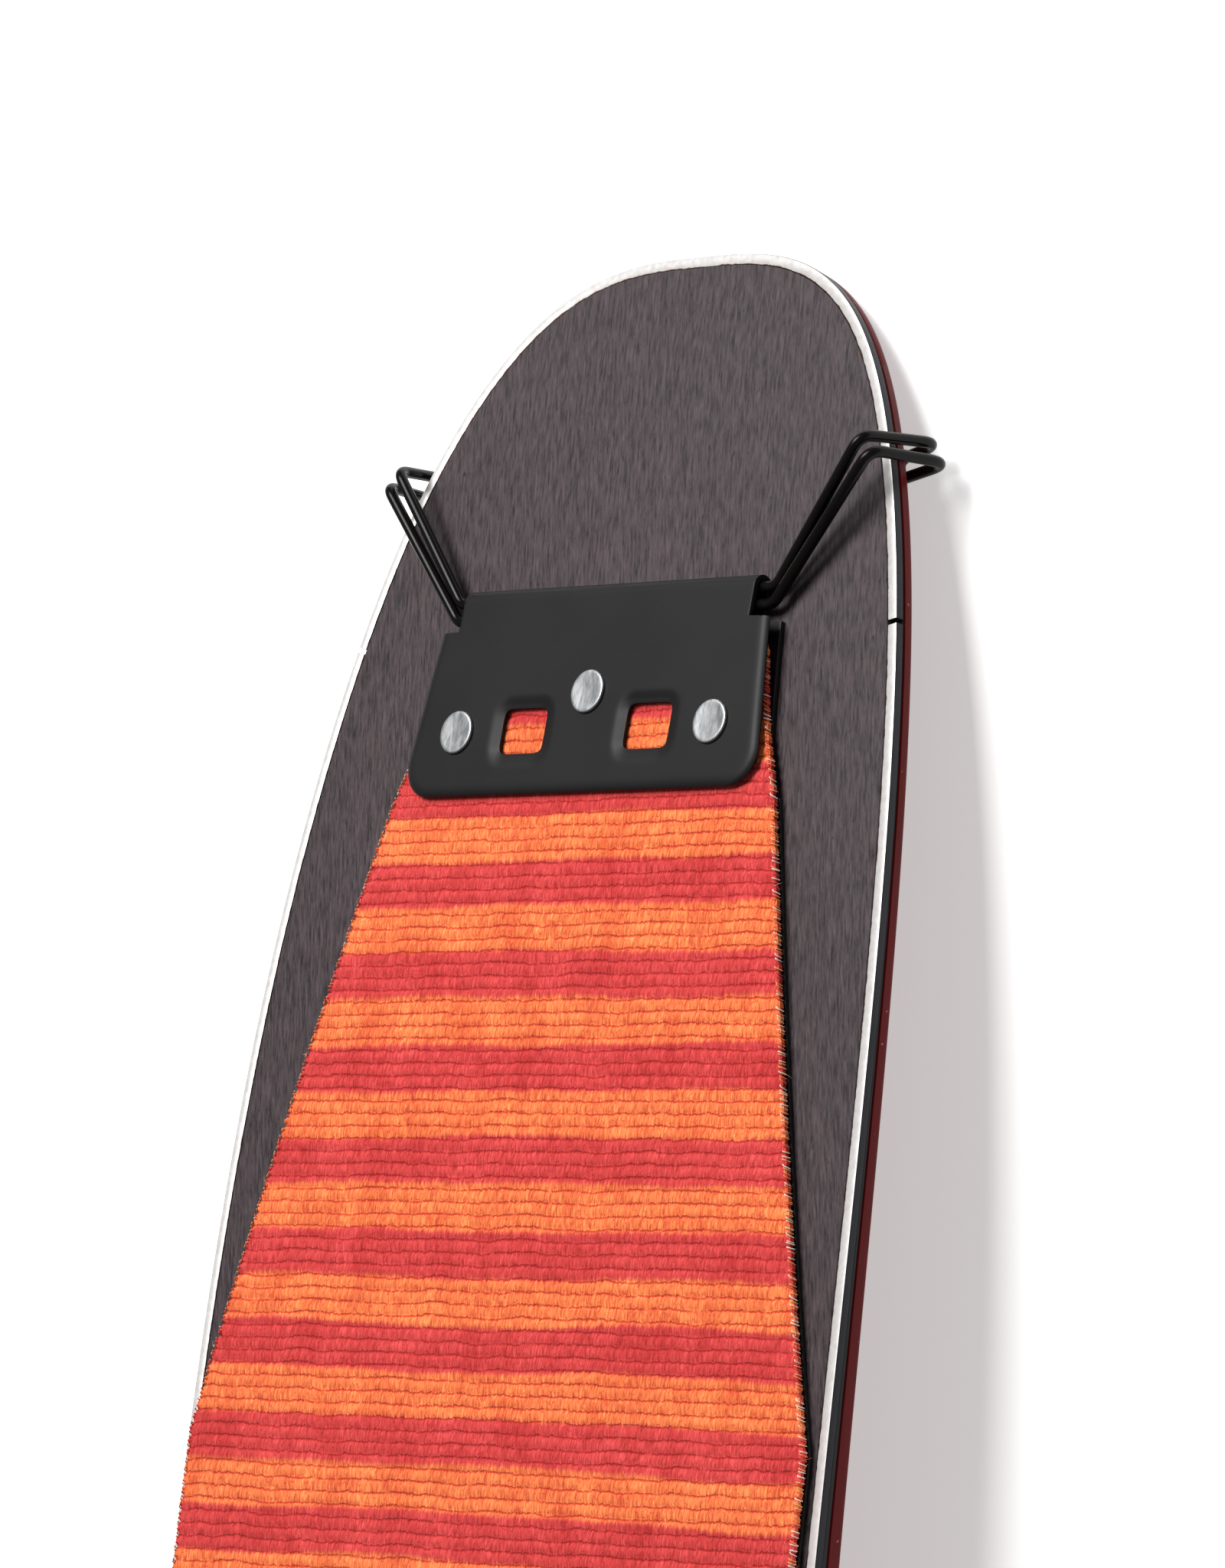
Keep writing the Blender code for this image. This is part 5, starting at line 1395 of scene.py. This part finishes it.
# ---------------------------------------------------------------- stage
class SPLITBOARD_OT_stage(Maker, bpy.types.Operator):
    """Sets the pale floor, the soft lights and the camera"""

    bl_idname = "splitboard.stage"
    bl_label = "Stage"

    def execute(self, context):
        look = context.scene.splitboard_stage
        scene = context.scene
        scene.view_settings.view_transform = "Standard"
        side = np.linspace(-6.0, 6.0, 2)
        x, y = np.meshgrid(side, side)
        floor = surface("floor", np.stack([x, y, np.zeros_like(x)], axis=-1))
        pale = Finish("pale_floor", 0.9, specular=0.1)
        pale.colour(tuple(look.floor_colour))
        pale.shader.inputs["Emission Color"].default_value = (1.0, 1.0, 1.0, 1.0)
        pale.shader.inputs["Emission Strength"].default_value = look.floor_glow
        floor.data.materials.append(pale.material)
        target = Vector(look.camera_aim)
        lights = (
            ("key_light", (-0.42, 2.05, 2.15), 1.3, look.key_power),
            ("left_light", (-1.60, 0.40, 1.30), 1.0, look.side_power),
            ("right_light", (1.70, -0.20, 1.50), 1.2, look.fill_power),
        )
        for name, spot, size, power in lights:
            data = bpy.data.lights.new(name, "AREA")
            data.shape, data.size, data.energy = "SQUARE", size, power
            lamp = bpy.data.objects.new(name, data)
            scene.collection.objects.link(lamp)
            lamp.location = spot
            lamp.rotation_euler = (target - Vector(spot)).to_track_quat("-Z", "Y").to_euler()
        world = bpy.data.worlds.new("studio")
        scene.world = world
        world.use_nodes = True
        world.node_tree.nodes["Background"].inputs["Color"].default_value = (1.0, 1.0, 1.0, 1.0)
        world.node_tree.nodes["Background"].inputs["Strength"].default_value = look.world_light
        camera = bpy.data.cameras.new("camera")
        camera.sensor_fit = "AUTO"
        camera.sensor_width = 36.0
        camera.lens = look.lens
        eye = bpy.data.objects.new("camera", camera)
        scene.collection.objects.link(eye)
        eye.location = look.camera_place
        toward = (target - Vector(look.camera_place)).to_track_quat("-Z", "Y")
        eye.rotation_euler = toward.to_euler()
        eye.rotation_euler.rotate_axis("Z", math.radians(look.camera_roll))
        scene.camera = eye
        return {"FINISHED"}


OPERATORS = (
    SPLITBOARD_OT_stage, SPLITBOARD_OT_base, SPLITBOARD_OT_edges, SPLITBOARD_OT_sidewalls,
    SPLITBOARD_OT_topsheet, SPLITBOARD_OT_skin, SPLITBOARD_OT_selvage, SPLITBOARD_OT_plate,
    SPLITBOARD_OT_rivets, SPLITBOARD_OT_wires, SPLITBOARD_OT_hardware,
)


class SPLITBOARD_PT_panel(bpy.types.Panel):
    """Lists the pieces of the splitboard half"""

    bl_label = "Splitboard half"
    bl_idname = "SPLITBOARD_PT_panel"
    bl_space_type = "VIEW_3D"
    bl_region_type = "UI"
    bl_category = "Splitboard"

    def draw(self, context):
        for maker in OPERATORS:
            self.layout.operator(maker.bl_idname)


SETTINGS = {
    "splitboard_plank": PlankLook, "splitboard_skin": SkinLook,
    "splitboard_plate": PlateLook, "splitboard_stage": StageLook,
}


def register():
    for made in (*SETTINGS.values(), *OPERATORS, SPLITBOARD_PT_panel):
        bpy.utils.register_class(made)
    for name, group in SETTINGS.items():
        setattr(bpy.types.Scene, name, PointerProperty(type=group))


def unregister():
    for name in SETTINGS:
        delattr(bpy.types.Scene, name)
    for made in reversed((*SETTINGS.values(), *OPERATORS, SPLITBOARD_PT_panel)):
        bpy.utils.unregister_class(made)


def main():
    register()
    for maker in OPERATORS:
        group, name = maker.bl_idname.split(".")
        getattr(getattr(bpy.ops, group), name)()


if __name__ == "__main__":
    main()
